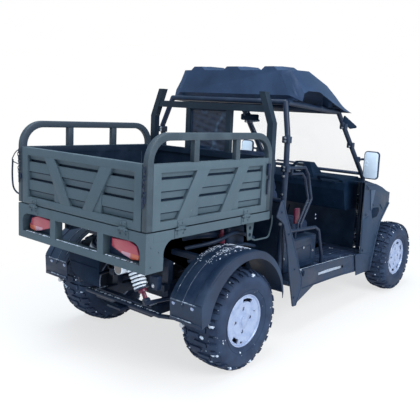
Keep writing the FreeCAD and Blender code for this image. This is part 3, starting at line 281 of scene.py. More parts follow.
def piece(name, bm, finish, body, nodes=(), sharp=35.0):
    """A finished object from a bmesh: smooth but for its sharp edges, riding on a body."""
    bm.normal_update()
    for face in bm.faces:
        face.smooth = True
    for edge in bm.edges:
        edge.smooth = len(edge.link_faces) == 2 and edge.calc_face_angle(0.0) < math.radians(sharp)
    mesh = bpy.data.meshes.new(name)
    bm.to_mesh(mesh)
    bm.free()
    made = bpy.data.objects.new(name, mesh)
    scene.collection.objects.link(made)
    mesh.materials.append(finish.material)
    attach(made, body)
    if nodes:
        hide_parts(*nodes)
    return made


def add(bm, part):
    """Puts one bmesh into another and lets it go."""
    mesh = bpy.data.meshes.new("part")
    part.to_mesh(mesh)
    part.free()
    bm.from_mesh(mesh)
    bpy.data.meshes.remove(mesh)


def swing(axis, degrees):
    return Matrix.Rotation(math.radians(degrees), 3, axis)


def laid(part, place, turn=None):
    """Turns and moves a bmesh to its place."""
    if turn is not None:
        bmesh.ops.rotate(part, verts=part.verts[:], cent=(0, 0, 0), matrix=turn)
    bmesh.ops.translate(part, verts=part.verts[:], vec=Vector(place))
    return part


def face_out(bm):
    bmesh.ops.recalc_face_normals(bm, faces=bm.faces[:])
    return bm


def ease(bm, edges, width, segments=2):
    """Rounds these edges."""
    bmesh.ops.bevel(bm, geom=edges, offset=width, segments=segments, profile=0.5, affect="EDGES",
        material=-1, offset_type="OFFSET")
    return bm


def weld(bm):
    bmesh.ops.remove_doubles(bm, verts=bm.verts[:], dist=1e-6)
    return bm


def spun(outline, steps, closed=True):
    """Turns an outline of (along, radius) corners right round the lateral axis."""
    bm = bmesh.new()
    corners = [bm.verts.new((x, 0, r)) for x, r in outline]
    pairs = list(zip(corners, corners[1:])) + ([(corners[-1], corners[0])] if closed else [])
    edges = [bm.edges.new(pair) for pair in pairs]
    bmesh.ops.spin(bm, geom=corners + edges, cent=(0, 0, 0), axis=(1, 0, 0), angle=math.tau, steps=steps,
        use_merge=True)
    return face_out(weld(bm))


def across_carcass(half, share):
    """(across, radius, slope) of the carcass at a share of the way from the crown to the widest point."""
    line = [(x * half, r) for x, r in reversed(CARCASS)]
    runs = [math.dist(a, b) for a, b in zip(line, line[1:])]
    reach = sum(runs[:TREAD_RUNS]) * abs(share)
    for (x0, r0), (x1, r1), run in zip(line, line[1:], runs):
        if reach <= run:
            part = reach / run
            slope = math.atan2(r0 - r1, x1 - x0)
            side = -1 if share < 0 else 1
            return side * (x0 + (x1 - x0) * part), r0 + (r1 - r0) * part, side * slope
        reach -= run
    return line[-1][0], line[-1][1], 0.0


def tread(bm, half, phase, side):
    """A ring of lugs on one half of the tyre."""
    for low, high, middle, reach, skew, height in LUGS:
        block = bmesh.new()
        bmesh.ops.create_cube(block, size=1.0)
        lengthways = [e for e in block.edges if abs(e.verts[0].co.x - e.verts[1].co.x) > 0.5]
        bmesh.ops.subdivide_edges(block, edges=lengthways, cuts=3)
        rims = [e for e in block.edges if e.verts[0].co.z > 0 and e.verts[1].co.z > 0
            and len({round(f.normal.z) for f in e.link_faces}) > 1]
        for v in block.verts:
            share = low + (high - low) * (v.co.x + 0.5)
            x, radius, slope = across_carcass(half, side * share)
            taper = 0.86 if v.co.z > 0 else 1.0
            lift = (TREAD_TOP - CROWN) * height * (1.0 if share < 0.8 else 0.8) if v.co.z > 0 else -LUG_ROOT
            along = v.co.y * 2 * reach * taper + skew * abs(share) * 0.05
            x, radius = x + math.sin(slope) * lift, radius + math.cos(slope) * lift
            angle = along / CROWN + (phase + middle) * math.tau / LUG_PITCHES
            v.co = (x, radius * math.sin(angle), radius * math.cos(angle))
        face_out(ease(block, rims, 0.0022, 1))
        bmesh.ops.spin(block, geom=block.verts[:] + block.edges[:] + block.faces[:], cent=(0, 0, 0),
            axis=(1, 0, 0), angle=math.tau * (LUG_PITCHES - 1) / LUG_PITCHES, steps=LUG_PITCHES - 1,
            use_duplicate=True)
        add(bm, block)


WHEELS = []                                                # name, axle, side, centre
for axle in ("rear", "front"):
    for side_name, side in (("left", 1), ("right", -1)):
        low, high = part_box("%s_%s_tyre" % (side_name, axle))
        WHEELS.append((side_name + "_" + axle, axle, side, (Vector(low) + Vector(high)) / 2))

for name, axle, side, centre in WHEELS:
    half = TYRE_SIZES[axle] / 2
    bm = spun([(x * half, r) for x, r in CARCASS] + [(-x * half, r) for x, r in reversed(CARCASS[:-1])], 84)
    tread(bm, half, 0.0, 1)
    tread(bm, half, 0.5, -1)
    share, radius = SIDE_RING
    for flip in (1, -1):
        add(bm, spun([(flip * (share * half + dx), radius + dr) for dx, dr in SIDE_RING_SHAPE], 72))
    laid(bm, centre, Matrix.Rotation(TYRE_START * side, 3, "X"))
    piece(name + "_tread_tyre", bm, rubber, name + "_wheel", [name + "_tyre"], sharp=30)

# ---- Rims: cast alloy painted silver, a rolled flange each side, a nearly flat face set almost flush with
# the outer flange, its windows mostly packed with snow, a low hub with a cap, and four sunk nuts.
RIM_LIP = 0.1600
BEAD_SHARE = 0.37                                          # the bead's place, as a share of the tyre's width
WINDOWS = {  # turn, half turn, radii: the front wheels have shed most of their snow
    "rear": ((13, 20, 0.114, 0.131), (216, 13, 0.112, 0.138), (188, 5, 0.126, 0.139)),
    "front": tuple((turn, 13, 0.108, 0.134) for turn in range(13, 360, 45)),
}
FACE_STEPS = 144
FACE_THICK = 0.009
NUT_CIRCLE, NUT_WELL = 0.070, 0.0105
DISC = (  # depth behind the face's own place, radius: from the flange in to the hub
    (-0.010, 0.1490), (0, 0.1470), (0.002, 0.1430), (0.002, 0.1390), (0.002, 0.1340), (0.002, 0.1260),
    (0.001, 0.1180), (0, 0.1120), (-0.003, 0.1000), (-0.006, 0.0860), (-0.007, NUT_CIRCLE + NUT_WELL),
    (-0.007, NUT_CIRCLE + NUT_WELL / 3), (-0.007, NUT_CIRCLE - NUT_WELL / 3), (-0.007, NUT_CIRCLE - NUT_WELL),
    (-0.004, 0.0500), (-0.001, 0.0380))
ALLOY = (0.330, 0.395, 0.560)
ALLOY_SHADE = (0.240, 0.305, 0.475)

alloy = Finish("silver_alloy", ALLOY, 0.38, 0.25, Specular_IOR_Level=0.5)
alloy.weather((22.0, 5.0, 0.65), 0.45, 0.72, 1.0, ALLOY_SHADE, (0.34, 0.3))
alloy.grain(160.0, 2.0, 0.12, 0.0006)
zinc = Finish("zinc_plate", (0.50, 0.53, 0.58), 0.34, 0.9)
zinc.set({"Roughness": 0.28 + 0.2 * zinc.noise(90.0)})


def drum(radius, length, sides=24, edge=0.0):
    """A round bar along +X from the origin, its two rims eased."""
    bm = bmesh.new()
    bmesh.ops.create_cone(bm, cap_ends=True, segments=sides, radius1=radius, radius2=radius, depth=length)
    laid(bm, (length / 2, 0, 0), swing("Y", 90))
    if edge:
        ease(bm, [e for e in bm.edges if abs(e.verts[0].co.x - e.verts[1].co.x) < 1e-6], edge)
    return bm


def peg(bm, start, way, *shape):
    """Adds a round bar that points left (X), back (Y) or up (Z) from a place."""
    turn = {"X": None, "Y": swing("Z", 90), "Z": swing("Y", -90)}[way]
    add(bm, laid(drum(*shape), start, turn))


def rim_face(face_x, windows):
    """The cast disc: its profile is spun, windows and nut wells are cut out, and it is thickened."""
    bm = spun([(face_x + depth, radius) for depth, radius in DISC], FACE_STEPS, closed=False)
    gone = set()
    for face in bm.faces:
        middle = face.calc_center_median()
        radius = math.hypot(middle.y, middle.z)
        turn = math.degrees(math.atan2(middle.y, middle.z))
        in_window = any(low < radius < high and abs((turn - at + 180) % 360 - 180) < half
            for at, half, low, high in windows)
        off_nut = math.radians(abs((turn + 45) % 90 - 45)) * NUT_CIRCLE
        if in_window or abs(radius - NUT_CIRCLE) < NUT_WELL and off_nut < NUT_WELL:
            gone.add(face)
    bmesh.ops.delete(bm, geom=list(gone), context="FACES")
    face_out(bm)
    bmesh.ops.solidify(bm, geom=bm.faces[:], thickness=FACE_THICK)
    return face_out(bm)


for name, axle, side, centre in WHEELS:
    about = swing("Z", 180) if side < 0 else None
    outer = TYRE_SIZES[axle] * BEAD_SHARE + 0.011
    face_x = outer - 0.008
    bm = spun([(-outer, 0.1480), (-outer, RIM_LIP - 0.003), (-outer + 0.003, RIM_LIP),
        (-outer + 0.008, RIM_LIP - 0.004), (-outer + 0.012, 0.1460), (0.0, 0.1430), (outer - 0.012, 0.1460),
        (outer - 0.008, RIM_LIP - 0.004), (outer - 0.003, RIM_LIP), (outer, RIM_LIP - 0.003),
        (outer, 0.1530), (outer - 0.004, 0.1490), (face_x - 0.008, 0.1420), (0.0, 0.1390),
        (-outer + 0.014, 0.1420)], 96)
    add(bm, rim_face(face_x, WINDOWS[axle]))
    add(bm, spun([(face_x + 0.002, 0.0), (face_x + 0.002, 0.036), (face_x - 0.002, 0.041),
        (face_x - 0.030, 0.046), (-0.010, 0.046), (-0.010, 0.0)], 48, closed=False))
    peg(bm, (face_x, 0, 0), "X", 0.030, 0.006, 40, 0.003)
    piece(name + "_alloy_rim", laid(bm, centre, about), alloy, name + "_wheel", [name + "_rim"],
        sharp=40)

    fixings = bmesh.new()                                  # four nuts with their washers, and the valve
    for angle in (math.radians(90 * quarter) for quarter in range(4)):
        spot = Vector((face_x - 0.024, NUT_CIRCLE * math.sin(angle), NUT_CIRCLE * math.cos(angle)))
        peg(fixings, spot, "X", 0.0085, 0.012, 6, 0.001)
        peg(fixings, spot - Vector((0.003, 0, 0)), "X", 0.0150, 0.004, 24, 0.001)
    peg(fixings, (face_x - 0.006, 0.098, 0.036), "X", 0.004, 0.016, 12, 0.0008)
    piece(name + "_wheel_fixings", laid(fixings, centre, about), zinc, name + "_wheel")

# ---- Frame and running gear: welded square and round steel tube under satin black powder coat, with cast
# drive housings. Every edge of the welded and pressed pieces is slightly rounded, as cold-formed steel is.
STEEL_BLACK = (0.007, 0.017, 0.042)
STEEL_DUST = (0.040, 0.066, 0.110)

black_steel = Finish("black_powder_coat", STEEL_BLACK, 0.42, Specular_IOR_Level=0.3)
black_steel.weather((7.0, 6.0, 0.65), 0.48, 0.75, 0.5, STEEL_DUST, (0.40, 0.175))
black_steel.grain(320.0, 2.0, 0.15, 0.0004)
casting = Finish("cast_housing", (0.016, 0.024, 0.040), 0.65, 0.2, Specular_IOR_Level=0.3)
casting.grain(140.0, 4.0, 0.5, 0.0010)
stained_steel = Finish("exhaust_steel", (0.20, 0.19, 0.19), 0.45, 0.85)
stained_steel.weather((12.0, 5.0), 0.45, 0.7, 1.0, (0.09, 0.055, 0.04))

BODY_OF = {node: body for body, nodes in frame["record"]["behaviour"]["bodies"].items() for node in nodes}


def copy_of(node):
    """A CAD node's mesh as a bmesh with its triangles merged back into flat faces."""
    bm = bmesh.new()
    bm.from_mesh(frame["nodes"][node].data)
    bmesh.ops.remove_doubles(bm, verts=bm.verts[:], dist=2e-5)
    bmesh.ops.dissolve_limit(bm, angle_limit=math.radians(1.0), verts=bm.verts[:], edges=bm.edges[:])
    return bm


def eased(name, node, finish, width, sharp=32.0):
    """A CAD piece shown with its edges rounded."""
    made = piece(name, copy_of(node), finish, BODY_OF[node], [node], sharp)
    bevel = made.modifiers.new("eased_edges", "BEVEL")
    bevel.width = width
    bevel.segments = 2
    bevel.limit_method = "ANGLE"
    bevel.angle_limit = math.radians(sharp)
    bevel.harden_normals = True
    bevel.miter_outer = "MITER_ARC"
    return made


FRAME_PIECES = (  # shown piece, CAD node, finish, edge radius
    ("welded_frame", "chassis_frame", black_steel, 0.004),
    ("front_arms", "front_control_arms", black_steel, 0.0015),
    ("rear_arms", "rear_control_arms", black_steel, 0.0015),
    ("left_steered_upright", "left_front_knuckle", casting, 0.004),
    ("right_steered_upright", "right_front_knuckle", casting, 0.004),
    ("rear_uprights", "rear_knuckles", casting, 0.004),
    ("engine_case", "engine_block", casting, 0.012),
    ("rear_drive_case", "rear_final_drive", casting, 0.008),
    ("front_drive_case", "front_final_drive", casting, 0.008),
    ("silencer", "exhaust", stained_steel, 0.004),
    ("bull_bar", "front_bumper", black_steel, 0.002),
    ("rear_cage", "rear_cage_hoop", black_steel, 0.002),
    ("front_cage", "front_cage_hoop", black_steel, 0.002),
    ("strut_tube", "tilt_strut_barrel", black_steel, 0.001),
    ("strut_plunger", "tilt_strut_rod", zinc, 0.001),
)
for shown, node, finish, width in FRAME_PIECES:
    eased(shown, node, finish, width)

# ---- Coil springs and dampers: a round white wire wound over each damper, between two steel cups, with a
# dark damper body above, a rod below in the same black coat (the real rod is chromed), and a red adjusting
# ring and foot, which the real vehicle has at the rear, drawn on every damper.
SPRING_WHITE = (0.72, 0.78, 0.86)
RED = (0.11, 0.008, 0.032)
SHOCKS = (  # axle, foot, head, coil radius, wire radius, turns, share of the length where it starts and ends
    ("rear", (0.304, 1.385, 0.420), (0.110, 1.385, 0.728), 0.0370, 0.0072, 10.0, 0.26, 0.84),
    ("front", (0.400, -1.245, 0.4337), (0.285, -1.245, 0.740), 0.0300, 0.0060, 9.0, 0.26, 0.84),
)
COIL_STEPS = 16
EYE_INSET, EYE_LENGTH = 0.014, 0.036

spring_coat = Finish("white_spring_coat", SPRING_WHITE, 0.42)
spring_coat.weather((60.0, 4.0), 0.55, 0.75, 1.0, (0.40, 0.45, 0.52), (0.36, 0.3))
red_coat = Finish("red_adjuster", RED, 0.40)
red_coat.weather((50.0,), 0.5, 0.7, 1.0, (0.05, 0.010, 0.030))


def along_line(bm, foot, head):
    """Lays a bmesh drawn along +X from the origin on the line between two points."""
    way = Vector(head) - Vector(foot)
    return laid(bm, foot, way.to_track_quat("X", "Z").to_matrix())


def both_sides(bm):
    """Adds the same thing on the vehicle's other side."""
    bmesh.ops.mirror(bm, geom=bm.verts[:] + bm.edges[:] + bm.faces[:], axis="X", merge_dist=-1)
    return face_out(bm)


def drums(*runs):
    """Round bars on one line: start, length, radius, sides and eased edge of each."""
    bm = bmesh.new()
    for start, length, radius, sides, edge in runs:
        peg(bm, (start, 0, 0), "X", radius, length, sides, edge)
    return bm


for axle, foot, head, coil, wire, turns, low, high in SHOCKS:
    length = math.dist(foot, head)
    bottom, top, cup = length * low, length * high, coil + wire
    bm = bmesh.new()
    ring = bmesh.ops.create_circle(bm, segments=10, radius=wire,
        matrix=Matrix.Translation((bottom, 0, coil)) @ Matrix.Rotation(math.pi / 2, 4, "X"))["verts"]
    start_edges = list({e for v in ring for e in v.link_edges})
    bmesh.ops.spin(bm, geom=ring + start_edges, cent=(0, 0, 0), axis=(1, 0, 0), angle=math.tau * turns,
        dvec=((top - bottom) / turns / COIL_STEPS, 0, 0), steps=int(COIL_STEPS * turns))
    bmesh.ops.holes_fill(bm, edges=[e for e in bm.edges if e.is_boundary], sides=12)
    face_out(weld(bm))
    damper = drums((0.018, length * 0.62, 0.0085, 32, 0.001),
        (length * 0.45, length * 0.50, 0.019, 32, 0.002), (bottom - 0.010, 0.010, cup, 32, 0.002),
        (top, 0.012, cup, 32, 0.002), (top + 0.012, 0.020, coil * 0.75, 32, 0.003))
    for at in (EYE_INSET, length - EYE_INSET):
        add(damper, laid(drum(0.0175, EYE_LENGTH, 28, 0.002), (at, EYE_LENGTH / 2, 0), swing("Z", -90)))
    foot_ring = drums((bottom - 0.030, 0.020, 0.024, 24, 0.002), (0.026, bottom - 0.058, 0.013, 24, 0.002))
    for part, part_name, finish, nodes, sharp in ((bm, "coil_springs", spring_coat, (), 60),
            (damper, "dampers", black_steel, [axle + "_shocks"], 35),
            (foot_ring, "spring_adjusters", red_coat, (), 35)):
        both = both_sides(along_line(part, foot, head))
        piece(axle + "_" + part_name, both, finish, "chassis", nodes, sharp)

# ---- Cab floor, skirts and quarter fins: black moulded plastic panels screwed to the outriggers. The floor
# has raised ribs and a rubber mat on each side; the skirts keep their slot; the fins have a scuffed rim.
PLASTIC_BLACK = (0.008, 0.020, 0.048)
PLASTIC_SCUFF = (0.046, 0.080, 0.140)
MAT_MIDDLE, MAT_RIBS, RIB_PITCH = 0.36, 14, 0.050
SKIRT_FACE, FIN_FACE = 0.620, 0.6235
FIN_RIM = [(0.551, 0.971), (0.531, 0.971), (0.488, 0.877), (0.419, 0.757), (0.336, 0.594), (0.275, 0.455),
    (0.240, 0.400), (0.240, 0.330), (0.300, 0.218), (0.337, 0.222), (0.393, 0.417), (0.458, 0.677),
    (0.489, 0.767), (0.508, 0.819), (0.551, 0.851), (0.597, 0.877), (0.551, 0.971)]

plastic = Finish("black_moulded_plastic", PLASTIC_BLACK, 0.50, Specular_IOR_Level=0.3)
plastic.weather((5.0, 6.0, 0.65), 0.42, 0.72, 0.45, PLASTIC_SCUFF, (0.40, 0.35),
    scratches=((70.0, 5.0, 0.75), 0.64, 0.70, 0.6))
plastic.grain(420.0, 2.0, 0.35, 0.0005)


def bar(low, high, edge=0.0, segments=2):
    """A box between two corners with its edges rounded."""
    low, high = Vector(tuple(map(min, low, high))), Vector(tuple(map(max, low, high)))
    bm = bmesh.new()
    bmesh.ops.create_cube(bm, size=1.0)
    bmesh.ops.scale(bm, verts=bm.verts[:], vec=high - low)
    laid(bm, (low + high) / 2)
    return ease(bm, bm.edges[:], edge, segments) if edge else bm


def pushed(bm, faces, way):
    """Pushes faces out along a vector, and gives the faces at the new end."""
    grown = bmesh.ops.extrude_face_region(bm, geom=faces)["geom"]
    bmesh.ops.translate(bm, verts=[g for g in grown if isinstance(g, bmesh.types.BMVert)], vec=Vector(way))
    return [g for g in grown if isinstance(g, bmesh.types.BMFace)]


def board(outline, push, edge=0.0, segments=2):
    """A flat panel: corners in order, pushed along a vector, its edges rounded."""
    bm = bmesh.new()
    pushed(bm, [bm.faces.new([bm.verts.new(corner) for corner in outline])], push)
    face_out(bm)
    return ease(bm, bm.edges[:], edge, segments) if edge else bm


def plate(x, outline, thick, edge, segments=2):
    """A panel on an upright plane along the vehicle: its (along, height) corners, pushed sideways."""
    return board([(x, y, z) for y, z in outline], (thick, 0, 0), edge, segments)


def bolts(bm, radius, height, facing, *places):
    """Adds hexagon heads on their washers at these places, facing left (1), right (-1) or back (0)."""
    for place in places:
        head = drum(radius * 1.55, height * 0.35, 20, height * 0.08)
        peg(head, (height * 0.35, 0, 0), "X", radius, height * 0.65, 6, height * 0.10)
        add(bm, laid(head, place, swing("Z", {1: 0, -1: 180, 0: 90}[facing])))


def rod(bm, start, end, radius, sides=12, over=0.0):
    """Adds a round bar between two points."""
    add(bm, along_line(drum(radius, math.dist(start, end) + over, sides, 0.001), start, end))


def beading(bm, x, line, radius, sides=12, over=0.0):
    """Adds rods along a line of (along, height) places on an upright plane."""
    for start, end in zip(line, line[1:]):
        rod(bm, (x, *start), (x, *end), radius, sides, over)


eased("cab_floor", "floor_pan", plastic, 0.003)
eased("sill_skirts", "side_skirts", plastic, 0.0016)
eased("corner_fins", "quarter_fins", plastic, 0.0016)

mats, trim = bmesh.new(), bmesh.new()
for side in (1, -1):
    x = side * MAT_MIDDLE
    for y in (-0.80 + RIB_PITCH * i for i in range(MAT_RIBS)):
        add(mats, bar((x - 0.20, y, 0.4045), (x + 0.20, y + 0.026, 0.4105), 0.0018))
    add(mats, bar((x - 0.215, -0.815, 0.4045), (x + 0.215, -0.100, 0.4070), 0.001))
    beading(trim, side * (SKIRT_FACE - 0.0005), [(0.230, 0.458), (-0.410, 0.428), (-0.853, 0.401)], 0.0055)
    beading(trim, side * SKIRT_FACE, [(0.240, 0.318), (-0.400, 0.300), (-0.760, 0.276)], 0.0045)
    beading(trim, side * FIN_FACE, FIN_RIM, 0.0060)
    bolts(trim, 0.006, 0.006, side, *((side * (FIN_FACE + 0.002), y, z)
        for y, z in ((0.330, 0.280), (0.340, 0.480), (0.440, 0.740), (0.540, 0.900))))
piece("floor_mats", mats, rubber, "chassis")
piece("panel_trim", trim, plastic, "chassis")

# ---- Seats: two bucket seats of black vinyl over foam on a moulded box; each has a cushion and a back sewn
# from a centre panel and two bolsters, stuffed a little proud of its seams, with a headrest on top.
VINYL = (0.006, 0.016, 0.044)
VINYL_WORN = (0.030, 0.052, 0.095)
SEAT_SIDES = (0.0325, 0.4575)
CUSHION_LOW, CUSHION_HIGH = (-0.140, 0.6405), (0.374, 0.7635)          # along, height
BACK_LOW, BACK_HIGH = (0.270, 0.765), (0.460, 1.290)
BACK_RINGS = (  # height, middle along, share of the width, thickness
    (0.775, 0.335, 0.96, 0.085), (0.960, 0.343, 1.00, 0.085), (1.110, 0.378, 0.92, 0.075),
    (1.165, 0.390, 0.66, 0.066), (1.195, 0.396, 0.62, 0.070), (1.275, 0.412, 0.58, 0.070))
BACK_FACE, BACK_LEAN = 0.345, 0.19
BOLSTER_SEAM = 0.125                                       # from the seat's middle
PAD_INSET = 0.012
PAD_VOXEL, PAD_FRAMES, PAD_TRAVEL, PAD_PRESSURE = 0.007, 20, 0.018, 4.0
BOX_SIDE = 0.5005

vinyl = Finish("seat_vinyl", VINYL, 0.60, Specular_IOR_Level=0.18)
vinyl.weather((6.0, 5.0, 0.6), 0.45, 0.75, 0.6, VINYL_WORN, (0.55, 0.25))
vinyl.bump(vinyl.node("TexVoronoi", {"feature": "DISTANCE_TO_EDGE"},
    {"Vector": vinyl.place(), "Scale": 240.0}, output="Distance"), 0.30, 0.0006)


def as_mesh(thing):
    """What an object looks like with its modifiers, as a new mesh."""
    return bpy.data.meshes.new_from_object(thing.evaluated_get(bpy.context.evaluated_depsgraph_get()))


def clamped(value):
    return max(0.0, min(1.0, value))


def stuffed(name, bm, low, high, rows, pull):
    """A foam pad: its shape is swelled as cloth under pressure, then the sewn channels are drawn in."""
    mesh = bpy.data.meshes.new(name)
    bm.to_mesh(mesh)
    bm.free()
    pad = bpy.data.objects.new(name, mesh)
    scene.collection.objects.link(pad)
    remesh = pad.modifiers.new("even_mesh", "REMESH")
    remesh.mode = "VOXEL"
    remesh.voxel_size = PAD_VOXEL
    mesh = as_mesh(pad)
    pad.modifiers.clear()
    pad.data = mesh
    start = [v.co.copy() for v in mesh.vertices]
    cloth = pad.modifiers.new("stuffing", "CLOTH")
    cloth.settings.use_pressure = True
    cloth.settings.uniform_pressure_force = PAD_PRESSURE
    cloth.settings.effector_weights.gravity = 0.0
    cloth.point_cache.frame_start, cloth.point_cache.frame_end = 1, PAD_FRAMES
    for step in range(1, PAD_FRAMES + 1):
        scene.frame_set(step)
    swollen = as_mesh(pad)
    pad.modifiers.clear()
    for vertex, moved, first in zip(mesh.vertices, swollen.vertices, start):
        travel = moved.co - first
        vertex.co = first + travel * min(1.0, PAD_TRAVEL / max(travel.length, 1e-9))
    bpy.data.meshes.remove(swollen)
    scene.frame_set(1)
    for vertex in mesh.vertices:
        place = vertex.co
        for axis, at, width, depth, way in rows:
            near = math.exp(-((place[axis] - at) / width) ** 2)
            place += Vector(way) * depth * near * pull(place)
        for axis in range(3):
            place[axis] = min(max(place[axis], low[axis]), high[axis])
    for polygon in mesh.polygons:
        polygon.use_smooth = True
    mesh.materials.append(vinyl.material)
    soft = pad.modifiers.new("softened", "SUBSURF")
    soft.levels = soft.render_levels = 1
    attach(pad, "chassis")
    return pad


def bridged(bm, rings):
    """Skins a row of four-cornered rings and closes both ends."""
    loops = [[bm.edges.new((a, b)) for a, b in zip(ring, ring[1:] + ring[:1])] for ring in rings]
    for near, far in zip(loops, loops[1:]):
        bmesh.ops.bridge_loops(bm, edges=near + far)
    bmesh.ops.holes_fill(bm, edges=[e for e in bm.edges if e.is_boundary], sides=4)
    return face_out(bm)


def back_shape(low_x, high_x):
    """The back before stuffing: leaning, narrower at its top, with a raised headrest."""
    middle, half = (low_x + high_x) / 2, (high_x - low_x) / 2 - PAD_INSET
    bm = bmesh.new()
    bridged(bm, [[bm.verts.new((middle + sx * half * share, y + sy * thick / 2, z))
        for sx, sy in ((-1, -1), (1, -1), (1, 1), (-1, 1))] for z, y, share, thick in BACK_RINGS])
    return ease(bm, bm.edges[:], 0.014)


for side_name, side in (("left", 1), ("right", -1)):
    low_x, high_x = sorted(side * x for x in SEAT_SIDES)
    seams = [(low_x + high_x) / 2 + dx for dx in (-BOLSTER_SEAM, BOLSTER_SEAM)]
    low, high = (low_x, *CUSHION_LOW), (high_x, *CUSHION_HIGH)
    channels = [(0, x, 0.010, 0.016, (0, 0, -1)) for x in seams]
    channels += [(1, y, 0.008, 0.012, (0, 0, -1)) for y in (-0.020, 0.080, 0.180)]
    block = bar(Vector(low) + Vector((PAD_INSET, PAD_INSET, 0.002)),
        Vector(high) - Vector((PAD_INSET, PAD_INSET, 0.020)), 0.030, 3)
    pad = stuffed(side_name + "_seat_cushion", block, low, high, channels,
        lambda place: clamped((place.z - 0.70) / 0.03))
    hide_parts(side_name + "_seat")
    channels = [(0, x, 0.010, 0.014, (0, 1, 0)) for x in seams]
    channels += [(2, z, 0.009, 0.012, (0, 1, 0)) for z in (0.900, 1.000, 1.100, 1.172)]
    stuffed(side_name + "_seat_back", back_shape(low_x, high_x), (low_x, *BACK_LOW), (high_x, *BACK_HIGH),
        channels, lambda place: clamped((BACK_FACE + BACK_LEAN * max(0.0, place.z - 0.90)
        - place.y) / 0.02))

eased("seat_box", "seat_base", plastic, 0.014)
box_trim, screws = bmesh.new(), bmesh.new()
belts, webbing = bmesh.new(), bmesh.new()                  # lap belt ends with their buckles
for side in (1, -1):                                       # the lid's edge, and a panel's outline on the box
    x = side * BOX_SIDE
    add(box_trim, bar((x - 0.004, -0.130, 0.600), (x + 0.004, 0.365, 0.630), 0.002))
    for y0, z0, y1, z1 in ((-0.070, 0.450, 0.305, 0.455), (-0.070, 0.560, 0.305, 0.565),
            (-0.070, 0.450, -0.065, 0.565), (0.300, 0.450, 0.305, 0.565)):
        add(box_trim, bar((x - 0.003, y0, z0), (x + 0.003, y1, z1), 0.001))
    bolts(screws, 0.0060, 0.006, side, *((x + side * 0.003, y, z)
        for y, z in ((0.040, 0.560), (0.300, 0.520), (-0.090, 0.520))))
    add(webbing, plate(side * 0.014, [(0.250, 0.700), (0.298, 0.700), (0.230, 0.800), (0.190, 0.780)],
        side * 0.003, 0.0008))
    add(belts, bar((side * 0.015 - 0.008, 0.175, 0.772), (side * 0.015 + 0.008, 0.232, 0.846), 0.004))
    add(belts, bar((side * 0.470 - 0.009, 0.080, 0.745), (side * 0.470 + 0.009, 0.142, 0.858), 0.007))
    add(webbing, plate(side * 0.470, [(0.100, 0.640), (0.120, 0.640), (0.122, 0.750), (0.098, 0.750)],
        side * 0.003, 0.0008))
piece("seat_box_trim", box_trim, plastic, "chassis")
piece("seat_box_screws", screws, zinc, "chassis")
piece("belt_buckles", belts, red_coat, "chassis")
piece("belt_stalks", webbing, vinyl, "chassis")
eased("side_guards", "seat_guards", black_steel, 0.001)

# ---- Bed deck and rear light panel: folded steel sheet in grey green paint, thinly sprayed and chalky where
# it is scuffed, with a dark liner colour inside the bed that is partly a real liner and partly painted shade,
# and a darker copy of the paint on faces underneath as painted shade. Hinge leaves are bolted under each
# gate.
BED_PAINT = (0.056, 0.087, 0.111)
BED_PAINT_WORN = (0.096, 0.136, 0.160)
BED_PAINT_DIRT = (0.034, 0.054, 0.078)
TUBE_PAINT = (0.029, 0.046, 0.063)
LINER_AND_PAINTED_SHADE = (0.004, 0.012, 0.028)
SNOW_SHADE = (0.46, 0.54, 0.68)
DATUM = 1.005                                              # the bed's own places along are counted from here
BED_HALF, BED_REAR, BED_THICK = 0.570, 0.648, 0.036
REAR_HINGES, SIDE_HINGES = (-0.400, 0.400), (-0.150, 0.410)
HINGE_BOLT = 0.022                                         # each leaf's bolts, from its middle
PIN_RADIUS, PIN_LENGTH, PIN_HEIGHT = 0.0048, 0.086, 0.905
PAINT_GRAIN = (180.0, 3.0, 0.20, 0.0006)

bed_paint = Finish("bed_paint", BED_PAINT, 0.55, Specular_IOR_Level=0.3)
cloud = bed_paint.mask(bed_paint.noise(3.5, 5.0, 0.6), 0.35, 0.70)
streak = bed_paint.node("Mapping", {}, {"Vector": bed_paint.place(), "Scale": (5.0, 5.0, 1.0)})
run_off = bed_paint.mask(bed_paint.node("TexNoise", {}, {"Vector": streak, "Scale": 2.5, "Detail": 4.0},
    output="Fac"), 0.50, 0.78)
chips = bed_paint.mask(bed_paint.noise(85.0, 5.0, 0.75), 0.660, 0.690)
coat = bed_paint.mix(cloud * 0.45, BED_PAINT, BED_PAINT_WORN)
coat = bed_paint.mix(run_off * 0.22, coat, BED_PAINT_DIRT)
bed_paint.set({"Base Color": bed_paint.mix(chips * 0.5, coat, (0.24, 0.29, 0.32)),
    "Roughness": 0.48 + 0.25 * cloud})
bed_paint.grain(*PAINT_GRAIN)
# dark liner colour for the faces inside the bed and the gates' inner faces: partly a real liner, partly
# painted shade
liner_and_painted_shade = Finish("dark_liner_and_painted_shade", LINER_AND_PAINTED_SHADE, 0.70, Specular_IOR_Level=0.15)
liner_and_painted_shade.weather((8.0, 6.0, 0.7), 0.50, 0.78, 0.5, (0.020, 0.038, 0.070), (0.55, 0.3))
liner_and_painted_shade.grain(120.0, 4.0, 0.4, 0.0008)
# a darker copy of the bed paint for faces underneath and inner faces: painted shade
painted_shade_coat = Finish("bed_paint_painted_shade", (0.020, 0.036, 0.058), 0.6)
painted_shade_coat.grain(*PAINT_GRAIN)
tube_paint = Finish("bed_tube_paint", TUBE_PAINT, 0.55, Specular_IOR_Level=0.4)
tube_paint.weather((7.0, 5.0, 0.65), 0.45, 0.72, 0.6, (0.064, 0.094, 0.116))
tube_paint.grain(*PAINT_GRAIN)
ledge_snow = Finish("packed_snow", SNOW, 0.85)
ledge_snow.set({"Base Color": ledge_snow.mix(ledge_snow.noise(40.0), SNOW, SNOW_SHADE)})
ledge_snow.grain(90.0, 5.0, 0.7, 0.002)


def repaint(shown, finish, wanted):
    """Gives the faces that a test picks a second finish."""
    shown.data.materials.append(finish.material)
    for polygon in shown.data.polygons:
        if wanted(polygon):
            polygon.material_index = len(shown.data.materials) - 1


